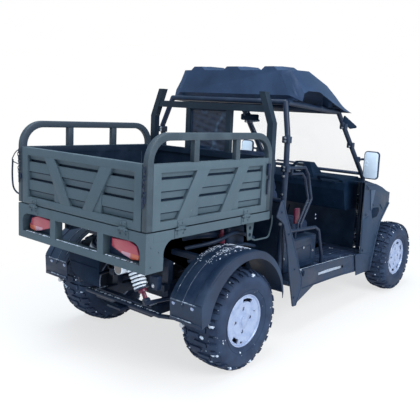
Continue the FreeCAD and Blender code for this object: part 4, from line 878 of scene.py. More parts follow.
def snow_lump(pick, low, high):
    """A rough ball of snow with a radius of about one."""
    lump = bmesh.new()
    bmesh.ops.create_icosphere(lump, subdivisions=1, radius=1.0)
    for v in lump.verts:
        v.co *= pick.uniform(low, high)
    return lump


def snow_line(places, size, seed):
    """A broken line of snow crumbs lying along a run of places, flat below and lumpy above."""
    crumbs = bmesh.new()
    pick = random.Random(seed)
    for start, end, count in places:
        for i in range(count):
            share = (i + pick.random()) / count
            lump = snow_lump(pick, 0.75, 1.15)
            grow = size * pick.uniform(0.35, 1.2)
            bmesh.ops.scale(lump, verts=lump.verts[:], vec=(grow * 1.9, grow * 1.3, grow * 0.7))
            add(crumbs, laid(lump, Vector(start).lerp(Vector(end), share),
                Matrix.Rotation(pick.uniform(0, 3.1), 3, "Z")))
    return crumbs


deck = eased("bed_floor", "bed_deck", bed_paint, 0.0015)
# the deck's top inside the bed gets the dark liner colour, partly painted shade
repaint(deck, liner_and_painted_shade, lambda face: abs(face.center.x) < 0.560 and face.normal.z > 0.5)
# faces under the deck get the darker copy of the paint: painted shade
repaint(deck, painted_shade_coat, lambda face: face.normal.z < -0.5 or face.center.z < 0.852)
panel = eased("light_panel_sheet", "rear_light_panel", bed_paint, 0.0022)
# the panel's inner face above the deck gets the dark liner colour, partly painted shade
repaint(panel, liner_and_painted_shade, lambda face: face.normal.y < -0.5 and face.center.y < 1.610 and face.center.z > 0.86)
bits = snow_line([((low, 1.642, 0.7395), (high, 1.642, 0.7395), count)
    for low, high, count in ((-0.19, 0.19, 44), (0.25, 0.50, 22), (-0.50, -0.25, 16))], 0.0042, 5)
piece("snow_on_panel_ledges", bits, ledge_snow, "tipping_bed", sharp=50)

fixings = bmesh.new()                                      # hinge pins, and two bolts in each leaf
for x in REAR_HINGES:
    bolts(fixings, 0.0055, 0.005, 0, *((x + dx, DATUM + BED_REAR + 0.0035, 0.877)
        for dx in (-HINGE_BOLT, HINGE_BOLT)))
    peg(fixings, (x - PIN_LENGTH / 2, DATUM + 0.658, PIN_HEIGHT), "X", PIN_RADIUS, PIN_LENGTH, 16, 0.001)
for side in (1, -1):
    for y in SIDE_HINGES:
        bolts(fixings, 0.0055, 0.005, side, *((side * (BED_HALF + 0.0035), DATUM + y + dy, 0.877)
            for dy in (-HINGE_BOLT, HINGE_BOLT)))
        peg(fixings, (side * 0.580, DATUM + y - PIN_LENGTH / 2, PIN_HEIGHT), "Y", PIN_RADIUS, PIN_LENGTH,
            16, 0.001)
    bolts(fixings, 0.0035, 0.004, side, *((side * 0.5698, DATUM + y, z)
        for y, z in ((0.612, 0.730), (0.560, 0.800), (0.612, 0.830))))
piece("bed_hinge_fixings", fixings, bed_paint, "tipping_bed")

# ---- Gates: a rail frame round a louvred sheet of folded slats with dark gaps between them, two slanted
# braces with gusset plates standing proud, hinge leaves below and, on the sides, a bent tube hoop above.
# The gaps are darkened by a dark backing sheet and a dark strip under each slat, painted shade, and the
# inner faces are given the dark liner colour, also painted shade.
GATE_BOTTOM, GATE_TOP = 0.911, 1.248
GATE_RAIL_LOW, GATE_RAIL_HIGH, GATE_POST = 0.042, 0.045, 0.055
SLAT = ((0.0, 0.0080), (0.0, 0.0250), (0.058, 0.0250), (0.0605, 0.0170), (0.098, 0.0125))   # drop, out
TOP_STRIP = (0.0200, 0.034, 0.0125)                        # out at its lip, drop, out at its foot
SLATS = (1.1655, 1.0550)                                   # the height of each slat's upper edge
STRIP_HEIGHT = 1.2120
SHEET_FOLD = 0.0022
BRACE_FOOT, BRACE_HEAD = 0.950, 1.206
SIDE_BAYS = (0.0, 0.352)
SIDE_BRACES = [[(y + 0.085, BRACE_FOOT), (y - 0.010, BRACE_FOOT), (y - 0.164, BRACE_HEAD),
    (y - 0.062, BRACE_HEAD)] for y in SIDE_BAYS]
SIDE_GUSSETS = [[(y - 0.006, BRACE_FOOT), (y - 0.082, BRACE_FOOT), (y - 0.084, 1.006), (y - 0.045, 1.040)]
    for y in SIDE_BAYS]
TAIL_BRACE = [(0.205, BRACE_HEAD), (0.302, BRACE_HEAD), (0.142, BRACE_FOOT), (0.056, BRACE_FOOT)]
TAIL_GUSSET = [(0.140, BRACE_FOOT), (0.208, BRACE_FOOT), (0.216, 1.098), (0.200, 1.075)]
HOOP_TOP, HOOP_RADIUS, HOOP_TUBE = 1.403, 0.150, 0.040


def frame_ring(low, high):
    """The rail frame: a rectangle inset unevenly, its middle taken out, pushed out to its depth."""
    bm = bmesh.new()
    outer = bm.faces.new([bm.verts.new((a, z, 0)) for a, z in ((low, GATE_BOTTOM), (high, GATE_BOTTOM),
        (high, GATE_TOP), (low, GATE_TOP))])
    bmesh.ops.inset_region(bm, faces=[outer], thickness=GATE_POST, use_boundary=True, use_even_offset=True)
    for v in outer.verts:
        v.co.x = low + GATE_POST if v.co.x < (low + high) / 2 else high - GATE_POST
        v.co.y = GATE_BOTTOM + GATE_RAIL_LOW if v.co.y < 1.08 else GATE_TOP - GATE_RAIL_HIGH
    bmesh.ops.delete(bm, geom=[outer], context="FACES_ONLY")
    pushed(bm, bm.faces[:], (0, 0, BED_THICK))
    face_out(bm)
    return ease(bm, [e for e in bm.edges if e.calc_face_angle(0.0) > 0.5], 0.0026)


def gate_plane(low, high, braces, gussets):
    """A gate in its own plane, (along, height, out from its inner face), as painted work and a dark backing
    of painted shade.
    """
    painted = frame_ring(low, high)
    low, high = low + GATE_POST - 0.002, high - GATE_POST + 0.002
    lip, drop, foot = TOP_STRIP
    folds = [[(STRIP_HEIGHT, lip), (STRIP_HEIGHT - drop, foot), (STRIP_HEIGHT - drop, foot - SHEET_FOLD),
        (STRIP_HEIGHT, lip - SHEET_FOLD)]]
    for top in SLATS:
        back = [(top - max(drop, SHEET_FOLD), out - SHEET_FOLD * (i > 0))
            for i, (drop, out) in enumerate(SLAT)]
        folds.append([(top - drop, out) for drop, out in SLAT] + back[::-1])
    for fold in folds:
        add(painted, board([(low, z, out) for z, out in fold], (high - low, 0, 0), 0.0006, 1))
    for shapes, stand, edge in ((braces, 0.0295, 0.0026), (gussets, 0.0225, 0.0020)):
        for corners in shapes:
            add(painted, board([(a, z, 0.006) for a, z in corners], (0, 0, stand), edge))
    # a dark sheet behind the slats: painted shade seen through the gaps
    shade_backing = bar((low, GATE_BOTTOM + 0.030, 0.0030), (high, GATE_TOP - 0.035, 0.0060))
    for top in SLATS:                                      # a dark strip under each slat's flat: a painted shadow line
        add(shade_backing, bar((low, top - 0.0628, 0.0120), (high, top - 0.0592, 0.0228)))
    return painted, shade_backing


def stood(bm, rear, side=1):
    """Stands a gate's plane on the bed's edge."""
    for v in bm.verts:
        a, z, d = v.co
        v.co = (a, DATUM + BED_REAR - BED_THICK + d, z) if rear else (side * (BED_HALF - BED_THICK + d),
            DATUM + a, z)
    bm.normal_update()
    return face_out(bm)


def hoop(front, rear):
    """A square tube bent up, round, along, round and down again, in the gate's plane."""
    bm = bmesh.new()
    shoulder = HOOP_TOP - HOOP_RADIUS
    end = [bm.faces.new([bm.verts.new((a, GATE_BOTTOM, d))
        for a, d in ((front, 0), (front + HOOP_TUBE, 0), (front + HOOP_TUBE, BED_THICK),
        (front, BED_THICK))])]
    for run, bend_at in (((0, shoulder - GATE_BOTTOM, 0), front + HOOP_RADIUS),
            ((rear - front - 2 * HOOP_RADIUS, 0, 0), rear - HOOP_RADIUS),
            ((0, GATE_BOTTOM - shoulder, 0), None)):
        end = pushed(bm, end, run)
        if bend_at is not None:
            geom = end + list({e for f in end for e in f.edges}) + list({v for f in end for v in f.verts})
            bent = bmesh.ops.spin(bm, geom=geom, cent=(bend_at, shoulder, 0), axis=(0, 0, 1),
                angle=-math.pi / 2, steps=10)["geom_last"]
            end = [g for g in bent if isinstance(g, bmesh.types.BMFace)]
    inside = [f for f in bm.faces if len(f.edges) == 4 and all(len(e.link_faces) > 2 for e in f.edges)]
    bmesh.ops.delete(bm, geom=inside, context="FACES_ONLY")
    face_out(weld(bm))
    return ease(bm, [e for e in bm.edges if len(e.link_faces) == 2 and e.calc_face_angle(0.0) > 1.0],
        0.0050, 3)


def gate_hinges(painted, centres):
    """The moving half of each hinge: a knuckle on the pin, a cranked tongue and a leaf up the gate's face."""
    for centre in centres:
        for z0, d0, z1, d1 in ((0.9135, -0.001, 0.947, 0.004), (0.907, 0.0005, 0.917, 0.012)):
            add(painted, bar((centre - 0.024, z0, BED_THICK + d0), (centre + 0.024, z1, BED_THICK + d1),
                0.0012))
        for at in (-0.022, 0.0, 0.022):
            peg(painted, (centre + at - 0.01, PIN_HEIGHT, BED_THICK + 0.010), "X", 0.0070, 0.0205, 20, 0.001)
        for at in (-0.013, 0.013):
            head = bmesh.new()
            bmesh.ops.create_cone(head, cap_ends=True, segments=6, radius1=0.0060, radius2=0.0055,
                depth=0.005)
            add(painted, laid(head, (centre + at, 0.933, BED_THICK + 0.006)))


painted, shade_backing = gate_plane(-0.528, 0.528, [TAIL_BRACE, [(-a, z) for a, z in TAIL_BRACE]],
    [TAIL_GUSSET, [(-a, z) for a, z in TAIL_GUSSET]])
gate_hinges(painted, REAR_HINGES)
shown = piece("tailgate_frame_and_slats", stood(painted, True), bed_paint, "tailgate",
    ["tailgate"])
# the tailgate's inner faces get the dark liner colour: painted shade
repaint(shown, liner_and_painted_shade, lambda face: face.normal.y < -0.7 and face.center.y < DATUM + BED_REAR - BED_THICK
    + 0.001)
piece("tailgate_backing", stood(shade_backing, True), liner_and_painted_shade, "tailgate")

for side_name, side in (("left", 1), ("right", -1)):
    gate = side_name + "_gate"
    painted, shade_backing = gate_plane(-0.360, 0.609, SIDE_BRACES, SIDE_GUSSETS)
    tubes = hoop(-0.399, BED_REAR)
    for y in (-0.052, 0.300):
        add(tubes, bar((y - 0.020, GATE_TOP - 0.002, 0.002), (y + 0.020, 1.366, BED_THICK - 0.002), 0.003))
    shown = piece(gate + "_hoop", stood(tubes, False, side), tube_paint, gate)
    # the hoop's inner faces get the darker copy of the paint: painted shade
    repaint(shown, painted_shade_coat, lambda face: face.normal.x * side < -0.6)
    gate_hinges(painted, SIDE_HINGES)
    shown = piece(gate + "_frame_and_slats", stood(painted, False, side), bed_paint, gate,
        [side_name + "_side_gate"])
    # the gate's inner faces get the dark liner colour: painted shade
    repaint(shown, liner_and_painted_shade, lambda face: face.normal.x * side < -0.6)
    piece(gate + "_backing", stood(shade_backing, False, side), liner_and_painted_shade, gate)

latches = {"tailgate": bmesh.new(), "left_gate": bmesh.new(), "right_gate": bmesh.new()}
tail_face = DATUM + BED_REAR
for side, body in ((1, "left_gate"), (-1, "right_gate")):
    x = side * (BED_HALF + 0.006)
    catch = latches[body]                                  # spring bolt and keeper at the gate's front end
    add(catch, bar((x, 0.640, 1.140), (x + side * 0.014, 0.668, 1.215), 0.003))
    peg(catch, (x + side * 0.010, 0.654, 1.110), "Z", 0.006, 0.060, 16, 0.0015)
    add(catch, bar((x, 0.650, 1.020), (x + side * 0.010, 0.664, 1.120), 0.002))
    bolts(catch, 0.007, 0.008, side, (x, 0.654, 1.190))
    catch = latches["tailgate"]                            # chain links and an over-centre catch
    for i in range(7):
        link = bmesh.new()
        bmesh.ops.create_circle(link, segments=6, radius=0.0022,
            matrix=Matrix.Translation((0.0075, 0, 0)) @ Matrix.Rotation(math.pi / 2, 4, "X"))
        bmesh.ops.spin(link, geom=link.verts[:] + link.edges[:], cent=(0, 0, 0), axis=(0, 0, 1),
            angle=math.tau, steps=12, use_merge=True)
        bmesh.ops.scale(link, verts=link.verts[:], vec=(1.0, 1.7, 1.0))
        place = (side * (0.549 + 0.004 * math.sin(i * 1.3)), tail_face + 0.007, 1.222 - 0.0205 * i)
        add(catch, laid(link, place, swing("Z", 90 * (i % 2)) @ swing("X", 90)))
    x = side * 0.548
    add(catch, bar((x - 0.013, tail_face - 0.004, 1.055), (x + 0.013, tail_face + 0.007, 1.085), 0.002))
    peg(catch, (x, tail_face + 0.008, 1.030), "Z", 0.0045, 0.055, 12, 0.001)
    bolts(catch, 0.006, 0.006, 0, (x, tail_face + 0.006, 1.070))
for body, catch in latches.items():
    piece(body + "_latches", catch, black_steel, body)


def bent_wire(points, radius, round_off):
    """A wire or tube through a few corners, each rounded off, as a mesh."""
    bm = bmesh.new()
    chain = [bm.verts.new(p) for p in points]
    for a, b in zip(chain, chain[1:]):
        bm.edges.new((a, b))
    bmesh.ops.bevel(bm, geom=chain[1:-1], offset=round_off, segments=5, profile=0.5, affect="VERTICES",
        material=-1, offset_type="OFFSET")
    order = [min(bm.verts, key=lambda v: (v.co - Vector(points[0])).length)]
    onward = order
    while onward:
        ends = [edge.other_vert(order[-1]) for edge in order[-1].link_edges]
        onward = [v for v in ends if v not in order]
        order += onward[:1]
    line = bpy.data.curves.new("wire", "CURVE")
    line.dimensions = "3D"
    line.bevel_depth, line.bevel_resolution, line.use_fill_caps = radius, 4, True
    spline = line.splines.new("POLY")
    spline.points.add(len(order) - 1)
    for point, v in zip(spline.points, order):
        point.co = (*v.co, 1)
    bm.free()
    holder = bpy.data.objects.new("wire", line)
    scene.collection.objects.link(holder)
    made = bmesh.new()
    made.from_mesh(as_mesh(holder))
    bpy.data.objects.remove(holder)
    return weld(made)


x = 0.575                                                  # a wire bail with its lever, left rear corner
bail = bent_wire([(x, 1.618, 1.240), (x + 0.052, 1.636, 1.212), (x + 0.096, 1.640, 1.150),
    (x + 0.012, 1.622, 1.128)], 0.0030, 0.022)
add(bail, bent_wire([(x + 0.082, 1.638, 1.160), (x + 0.088, 1.640, 1.060), (x + 0.072, 1.640, 0.963),
    (x + 0.006, 1.622, 0.945)], 0.0052, 0.040))
piece("left_gate_bail_and_lever", bail, black_steel, "left_gate")

# ---- Headboard: two folded posts that lean in above the knee, cross rails and a fixed lower wall, painted
# like the gates outside and lined inside; all of it is drawn in a much darker copy of the gate paint as
# painted shade, and the lined faces in the dark liner colour, partly painted shade. A creased sheet of smoked
# film sits behind its middle window.
HEAD_PAINT_SHADED, HEAD_WORN_SHADED = (0.011, 0.021, 0.036), (0.030, 0.052, 0.075)
SMOKE, CREASE = (0.010, 0.024, 0.056), (0.110, 0.160, 0.240)
WALL_TOP = 1.262
EDGING_REAR, EDGING_FRONT = 0.5720, 0.5830

# a much darker copy of the gate paint, with worn patches: painted shade
head_paint_shaded = Finish("headboard_paint_painted_shade", HEAD_PAINT_SHADED, 0.55, Specular_IOR_Level=0.2)
head_paint_shaded.weather((6.0, 5.0, 0.65), 0.48, 0.75, 0.6, HEAD_WORN_SHADED, (0.45, 0.3))
head_paint_shaded.grain(*PAINT_GRAIN)
head = eased("headboard_frame", "headboard", head_paint_shaded, 0.0028)
# the lower wall's faces inside the bed get the dark liner colour, partly painted shade
repaint(head, liner_and_painted_shade, lambda face: face.center.z < WALL_TOP and abs(face.center.x) < 0.530
    and face.normal.y > 0.5 or 0.899 < face.center.z < WALL_TOP and abs(face.center.x) < 0.515)

smoke = Finish("smoked_film", SMOKE, 0.30, Alpha=0.88, Specular_IOR_Level=0.3)
crease = 1.0 - smoke.mask(abs(smoke.noise(3.6, 1.5, 0.5) - 0.5), 0.004, 0.022)
smoke.set({"Base Color": smoke.mix(crease * 0.5, SMOKE, CREASE), "Roughness": 0.28 + 0.20 * crease,
    "Alpha": 0.88 + 0.08 * crease})
bm = bmesh.new()
bmesh.ops.create_grid(bm, x_segments=46, y_segments=40, size=0.5)
low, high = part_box("headboard_screen")
for v in bm.verts:
    u, w = v.co.x + 0.5, v.co.y + 0.5
    ripple = 0.0022 * math.sin(21 * u + 6 * w) * math.sin(9 * w + 2 * u) + 0.0015 * math.sin(37 * w - 11 * u)
    edge = min(u, 1 - u, w, 1 - w) * 8
    v.co = (low.x + (high.x - low.x) * u, (low.y + high.y) / 2 + ripple * min(1.0, edge),
        low.z + (high.z - low.z) * w)
bmesh.ops.solidify(bm, geom=bm.faces[:], thickness=0.0012)
piece("creased_smoke_film", face_out(bm), smoke, "tipping_bed", ["headboard_screen"], sharp=60)
edging = bmesh.new()
for x0, z0, x1, z1 in ((-0.1650, 1.2490, -0.1560, 1.5270), (0.1560, 1.2490, 0.1650, 1.5270),
        (-0.1620, 1.2480, 0.1620, 1.2560), (-0.1620, 1.5200, 0.1620, 1.5280)):
    add(edging, bar((x0, EDGING_REAR, z0), (x1, EDGING_FRONT, z1), 0.002))
bolts(edging, 0.0040, 0.005, 0, *((x, 0.5825, z) for x in (-0.150, -0.050, 0.050, 0.150)
    for z in (1.252, 1.524)))
piece("film_edging", edging, plastic, "tipping_bed")

# ---- Tail lamps: moulded lenses behind the panel's windows, red above, clear lower middle and amber lower
# outer corner, fluted on the lens itself in place of a fluted reflector behind, in a dark box, their face
# bevelled to the outside.
LENS_RED, LENS_AMBER, LENS_CLEAR = (0.36, 0.024, 0.050), (0.56, 0.10, 0.045), (0.52, 0.24, 0.32)
LENS_FADED = (0.46, 0.05, 0.09)
AMBER_FROM, CLEAR_FROM, RED_FROM = (0.4260, 0.4300), (0.3560, 0.3600), (0.7755, 0.7785)
LENS_EDGE = ((0.277, 0.787), (0.277, 0.834), (0.412, 0.840), (0.470, 0.822), (0.493, 0.775), (0.489, 0.752),
    (0.440, 0.744), (0.380, 0.756))
LENS_MIDDLE, RIM_GROWTH = (0.385, 0.792), (1.045, 1.10)

red_lens = Finish("tail_lens", LENS_RED, 0.22, Coat_Weight=0.4, Specular_IOR_Level=0.6)
out_at = abs(red_lens.place("X"))
low_part = 1.0 - red_lens.mask(red_lens.place("Z"), *RED_FROM)
amber = red_lens.mask(out_at, *AMBER_FROM)
clear_part = red_lens.mask(out_at, *CLEAR_FROM) * (1.0 - amber) * low_part
shade = red_lens.mix(clear_part, red_lens.mix(red_lens.noise(9.0), LENS_RED, LENS_FADED), LENS_CLEAR)
red_lens.set({"Base Color": red_lens.mix(amber * low_part, shade, LENS_AMBER)})
red_lens.bump(red_lens.node("TexWave", {"wave_type": "BANDS", "bands_direction": "X"},
    {"Vector": red_lens.place(), "Scale": 38.0, "Distortion": 0.0}, output="Fac"), 0.25, 0.0008)

lenses, boxes = bmesh.new(), bmesh.new()
for side in (1, -1):
    add(lenses, board([(side * x, 1.612, z) for x, z in LENS_EDGE], (0, 0.014, 0), 0.005, 3))
    (mid_x, mid_z), (grow_x, grow_z) = LENS_MIDDLE, RIM_GROWTH
    add(boxes, board([(side * (mid_x + (x - mid_x) * grow_x), 1.606, mid_z + (z - mid_z) * grow_z)
        for x, z in LENS_EDGE], (0, 0.010, 0), 0.003))
    add(boxes, bar((side * 0.236, 1.600, 0.733), (side * 0.530, 1.6055, 0.853), 0.001))
    bolts(boxes, 0.0045, 0.006, 0, *((side * x, 1.606, z)
        for x, z in ((0.262, 0.760), (0.262, 0.830), (0.508, 0.756))))
piece("tail_lamp_lenses", lenses, red_lens, "tipping_bed", ["taillights"], sharp=40)
piece("tail_lamp_housings", boxes, plastic, "tipping_bed")

# ---- Rear fenders: soft black moulded plastic over each wheel, a raised ridge round the top with pale lines
# along its crests that are painted highlights, a broad outer lip, and a flap bolted on behind with two pale
# lines along its upper edges, also painted highlights. Snow lies on top.
SKIN_REAR, SKIN_FRONT = (0.990, 0.287, 0.438), (0.965, 0.355, 0.370)   # centre along, height, radius
SKIN_CHANGE = 92                                           # degrees from straight behind
RIDGES = (  # from and to across, start and end in degrees, lift, thickness
    (0.503, 0.511, 30, 150, -0.003, 0.0045), (0.567, 0.577, 24, 150, -0.003, 0.0045),
    (0.655, 0.7105, 29, 160, -0.003, 0.009))
# pale thin bands on the crests of the two inner ridges over the top of the arch: painted highlights
RIDGE_HIGHLIGHTS = ((0.5065, 0.5079, 34, 84, 0.0008, 0.0016), (0.5714, 0.5730, 26, 92, 0.0008, 0.0016))
BAND_STEPS = 26
CRUMBS = 260
# the pale colour of the crest lines and the flap's edge lines: painted highlight, broken by darker patches
PALE_HIGHLIGHT = (0.46, 0.53, 0.64)

highlight_coat = Finish("painted_highlight_plastic", PALE_HIGHLIGHT, 0.60)
highlight_coat.weather((46.0, 4.0), 0.36, 0.50, 1.0, (0.080, 0.110, 0.170))


def arch_place(degrees, lift):
    """A place over the wheel, counted in degrees from straight behind, up over the top to the front."""
    y, z, r = SKIN_REAR if degrees < SKIN_CHANGE else SKIN_FRONT
    turn = math.radians(degrees)
    return y + (r + lift) * math.cos(turn), z + (r + lift) * math.sin(turn)


def arch_band(side, low, high, start, end, lift, thick):
    """A strip that follows the fender's skin between two places across."""
    low, high = sorted((side * low, side * high))
    bm = bmesh.new()
    bridged(bm, [[bm.verts.new((x, *arch_place(start + (end - start) * i / BAND_STEPS, h)))
        for x, h in ((low, lift), (high, lift), (high, lift + thick), (low, lift + thick))]
        for i in range(BAND_STEPS + 1)])
    return ease(bm, [e for e in bm.edges if e.calc_face_angle(0.0) > 1.0], thick * 0.4)


eased("rear_fender_skins", "rear_fenders", plastic, 0.0035)
ridges, flap, flap_bolts, highlight_lines, dusting = (bmesh.new() for part in range(5))
for side in (1, -1):
    for band in RIDGES:
        add(ridges, arch_band(side, *band))
    for low_z, high_z, stand in ((0.385, 0.492, 0.0045), (0.372, 0.392, 0.0075)):
        add(flap, bar((side * 0.476, 1.3665, low_z), (side * 0.706, 1.3695 + stand, high_z), 0.002))
    bolts(flap_bolts, 0.0080, 0.007, 0, *((side * x, 1.3735, 0.472) for x in (0.500, 0.640)))
    # pale lines along the flap's two upper edges: painted highlights
    add(highlight_lines, bar((side * 0.480, 1.3735, 0.4890), (side * 0.668, 1.3785, 0.4950), 0.0012))
    add(highlight_lines, bar((side * 0.480, 1.3740, 0.3895), (side * 0.640, 1.3795, 0.3945), 0.0012))
    for band in RIDGE_HIGHLIGHTS:
        add(highlight_lines, arch_band(side, *band))
    pick = random.Random(11 + side)
    for i in range(CRUMBS):
        degrees = 62 + 48 * pick.random() ** 0.8
        x = side * pick.choice((pick.gauss(0.580, 0.014), pick.gauss(0.500, 0.012), pick.uniform(0.48, 0.65)))
        crumb = bmesh.new()
        bmesh.ops.create_icosphere(crumb, subdivisions=1, radius=pick.uniform(0.0012, 0.0036))
        bmesh.ops.scale(crumb, verts=crumb.verts[:], vec=(1.5, 1.5, 0.7))
        add(dusting, laid(crumb, (x, *arch_place(degrees, 0.003))))
piece("mud_flap_bolts", flap_bolts, alloy, "chassis")
piece("rear_fender_ridges", ridges, plastic, "chassis", sharp=40)
piece("rear_mud_flaps", flap, plastic, "chassis")
piece("rear_fender_painted_highlights", highlight_lines, highlight_coat, "chassis")
piece("snow_on_rear_fenders", dusting, ledge_snow, "chassis", sharp=50)

# ---- Dash and controls: a moulded dash with a raised instrument pod, a round gauge behind a clear face,
# vents, a row of rockers, a gear lever on a gaiter, two pedals and a wheel rim wrapped in grained vinyl.
CAB_DARK = (0.002, 0.011, 0.030)
DIAL_DARK, DIAL_MARKS = (0.018, 0.022, 0.030), (0.30, 0.34, 0.38)
GAUGE = (0.0, -0.646, 1.070)
GAUGE_LEAN = -28
ROCKERS, ROCKER_PITCH = 6, 0.034
LEVER_X = 0.030

cab_plastic = Finish("dark_cab_plastic", CAB_DARK, 0.70, Specular_IOR_Level=0.1)
cab_plastic.weather((6.0, 5.0, 0.65), 0.46, 0.75, 0.5, (0.014, 0.034, 0.070))
cab_plastic.grain(420.0, 2.0, 0.35, 0.0005)
dial = Finish("dial_face", DIAL_DARK, 0.20, Coat_Weight=1.0)
ring_place = dial.node("Mapping", {}, {"Vector": dial.place(), "Location": tuple(-at for at in GAUGE)})
ticks = dial.node("TexWave", {"wave_type": "RINGS"}, {"Vector": ring_place, "Scale": 12.0}, output="Fac")
dial.set({"Base Color": dial.mix(dial.mask(ticks, 0.86, 0.93), DIAL_DARK, DIAL_MARKS)})
eased("dash_moulding", "dashboard", cab_plastic, 0.010)
eased("steering_wheel_rim", "steering_wheel", vinyl, 0.004, sharp=55)

gauge_turn = swing("Z", 90) @ swing("Y", GAUGE_LEAN)
dash_trim = laid(drum(0.052, 0.010, 48, 0.002), GAUGE, gauge_turn)
for x in (-0.085 + ROCKER_PITCH * i for i in range(ROCKERS)):
    add(dash_trim, bar((x - 0.012, -0.612, 0.945), (x + 0.012, -0.594, 0.980), 0.004))
for x in (-0.36, -0.24, 0.36):                             # round vents with three slats each
    peg(dash_trim, (x, -0.618, 0.960), "Y", 0.034, 0.018, 32, 0.004)
    for z in (0.944, 0.958, 0.972):
        add(dash_trim, bar((x - 0.026, -0.602, z), (x + 0.026, -0.596, z + 0.004), 0.001))
add(dash_trim, bent_wire([(-0.420, -0.640, 1.000), (-0.420, -0.585, 1.020), (-0.210, -0.585, 1.020),
    (-0.210, -0.640, 1.000)], 0.011, 0.030))
add(dash_trim, bent_wire([(LEVER_X, -0.300, 0.415), (LEVER_X, -0.330, 0.640), (LEVER_X, -0.300, 0.780)],
    0.0080, 0.060))
knob = bmesh.new()
bmesh.ops.create_uvsphere(knob, u_segments=24, v_segments=14, radius=0.024)
add(dash_trim, laid(knob, (LEVER_X, -0.298, 0.795)))
gaiter = spun([(0.000, 0.052), (0.012, 0.048), (0.018, 0.036), (0.026, 0.040), (0.034, 0.028),
    (0.042, 0.032), (0.052, 0.016), (0.075, 0.009)], 28, closed=False)
add(dash_trim, laid(gaiter, (LEVER_X, -0.301, 0.405), swing("Y", -90)))
for x, width in ((0.180, 0.050), (0.300, 0.036)):          # pedals
    add(dash_trim, bent_wire([(x, -0.800, 0.700), (x, -0.735, 0.560), (x, -0.690, 0.500)], 0.007, 0.030))
    pad = bar((-width / 2, -0.030, -0.006), (width / 2, 0.030, 0.006), 0.004)
    add(dash_trim, laid(pad, (x, -0.682, 0.505), swing("X", -58)))
piece("dash_controls", dash_trim, cab_plastic, "chassis", sharp=40)
piece("gauge_face", laid(drum(0.045, 0.0125, 48, 0.001), GAUGE, gauge_turn), dial, "chassis")

# ---- Cab tube fittings: two-bolt clamp blocks, the roof's cross tubes, a small wing on each front pillar,
# the interior mirror on its stalk, caps on the side guards' ends and domed bolts down the rear hoop.
CLAMPS = ((0.476, -0.490, 1.450), (0.484, -0.619, 1.300), (0.566, 0.441, 1.170), (0.571, 0.455, 1.360))
HOOP_BOLTS = ((0.434, 1.120), (0.432, 1.000), (0.440, 0.800))
CROSS_TUBES = ((0.505, -0.080, 1.578), (0.492, -0.260, 1.568))
PILLAR_WING = [(-0.465, 1.535), (-0.440, 1.490), (-0.575, 1.432), (-0.677, 1.440), (-0.677, 1.456)]

clamps, heads, mirror_back, caps = (bmesh.new() for part in range(4))
for side in (1, -1):
    for x, y, z in CLAMPS:
        x *= side
        add(clamps, bar((x - 0.026, y - 0.022, z - 0.022), (x + 0.026, y + 0.022, z + 0.022), 0.005))
        bolts(heads, 0.0055, 0.006, 0, (x, y + 0.0215, z + 0.010), (x, y + 0.0215, z - 0.010))
    bolts(heads, 0.0075, 0.008, 0, *((side * 0.563, y + 0.0225, z) for y, z in HOOP_BOLTS))
    add(mirror_back, plate(side * 0.484, PILLAR_WING, side * 0.012, 0.003))
    bolts(caps, 0.0042, 0.005, side, *((side * 0.500, y, z)
        for y, z in ((0.023, 0.895), (0.040, 0.876), (-0.103, 0.791), (-0.107, 0.762))))
for x, y, z in CROSS_TUBES:
    rod(clamps, (-x, y, z), (x, y, z), 0.016, 24)
piece("cage_clamps", clamps, black_steel, "chassis")
piece("cage_bolts", heads, zinc, "chassis")
piece("side_guard_caps", caps, alloy, "chassis")
add(mirror_back, bar((0.330, -0.458, 1.450), (0.520, -0.432, 1.505), 0.012, 3))
add(mirror_back, bent_wire([(0.420, -0.445, 1.480), (0.420, -0.420, 1.530), (0.420, -0.400, 1.558)], 0.007,
    0.012))
piece("interior_mirror", mirror_back, cab_plastic, "chassis")

# ---- Windscreen: one clear, slightly smeared sheet clamped in a black rubber channel on the front hoop, with
# a wiper parked at its foot.
GLASS = ((0.4794, -0.8480, 1.0560), (0.4517, -0.4110, 1.5560))     # its lower and upper corners on the left

clear = Finish("clear_sheet", (0.80, 0.88, 0.95), 0.06, Alpha=0.16, Specular_IOR_Level=0.5)
smear = clear.mask(clear.noise(2.5, 3.0, 0.5), 0.45, 0.75)
clear.set({"Roughness": 0.05 + 0.10 * smear, "Alpha": 0.07 + 0.03 * smear})
piece("windscreen_clear_sheet", copy_of("windscreen"), clear, "chassis", ["windscreen"])
channel = bmesh.new()
for side in (1, -1):
    foot, top = (Vector((side * x, y, z)) for x, y, z in GLASS)
    rod(channel, foot, top, 0.009, 16)
for (x, y, z), radius in zip(GLASS, (0.014, 0.009)):
    rod(channel, (-x, y, z), (x, y, z), radius, 16)
for foot, top, radius, length in (((0.060, -0.842, 1.082), (0.400, -0.840, 1.086), 0.004, 0.340),
        ((0.090, -0.834, 1.090), (0.370, -0.832, 1.094), 0.006, 0.280)):
    add(channel, along_line(drum(radius, length, 12, 0.001), foot, top))
piece("windscreen_channel", channel, rubber, "chassis")

# ---- Front body: hood, corner fenders and nose of navy black moulded plastic, shaped by broad facets, one of
# them paler as a painted highlight, with a dark vent in each fender drawn as a flat dark plate of painted
# shade, a slotted nose, rubber seals under the hood's edges and clear headlamps.
PANEL_NAVY, PANEL_PALE = (0.011, 0.028, 0.060), (0.038, 0.068, 0.122)
PANEL_GRAIN = (300.0, 2.0, 0.2, 0.0004)
CORNER_FACE = 0.6255                                       # outside of the corner panels
UPPER_FACET = [(-0.664, 0.985), (-0.854, 0.972), (-0.985, 0.936), (-1.078, 0.892), (-1.120, 0.845),
    (-1.030, 0.745), (-0.970, 0.800), (-0.830, 0.800), (-0.758, 0.937)]
LOWER_FACET = [(-0.664, 0.700), (-0.760, 0.720), (-0.880, 0.660), (-0.930, 0.545), (-0.880, 0.363),
    (-0.800, 0.262), (-0.664, 0.400)]
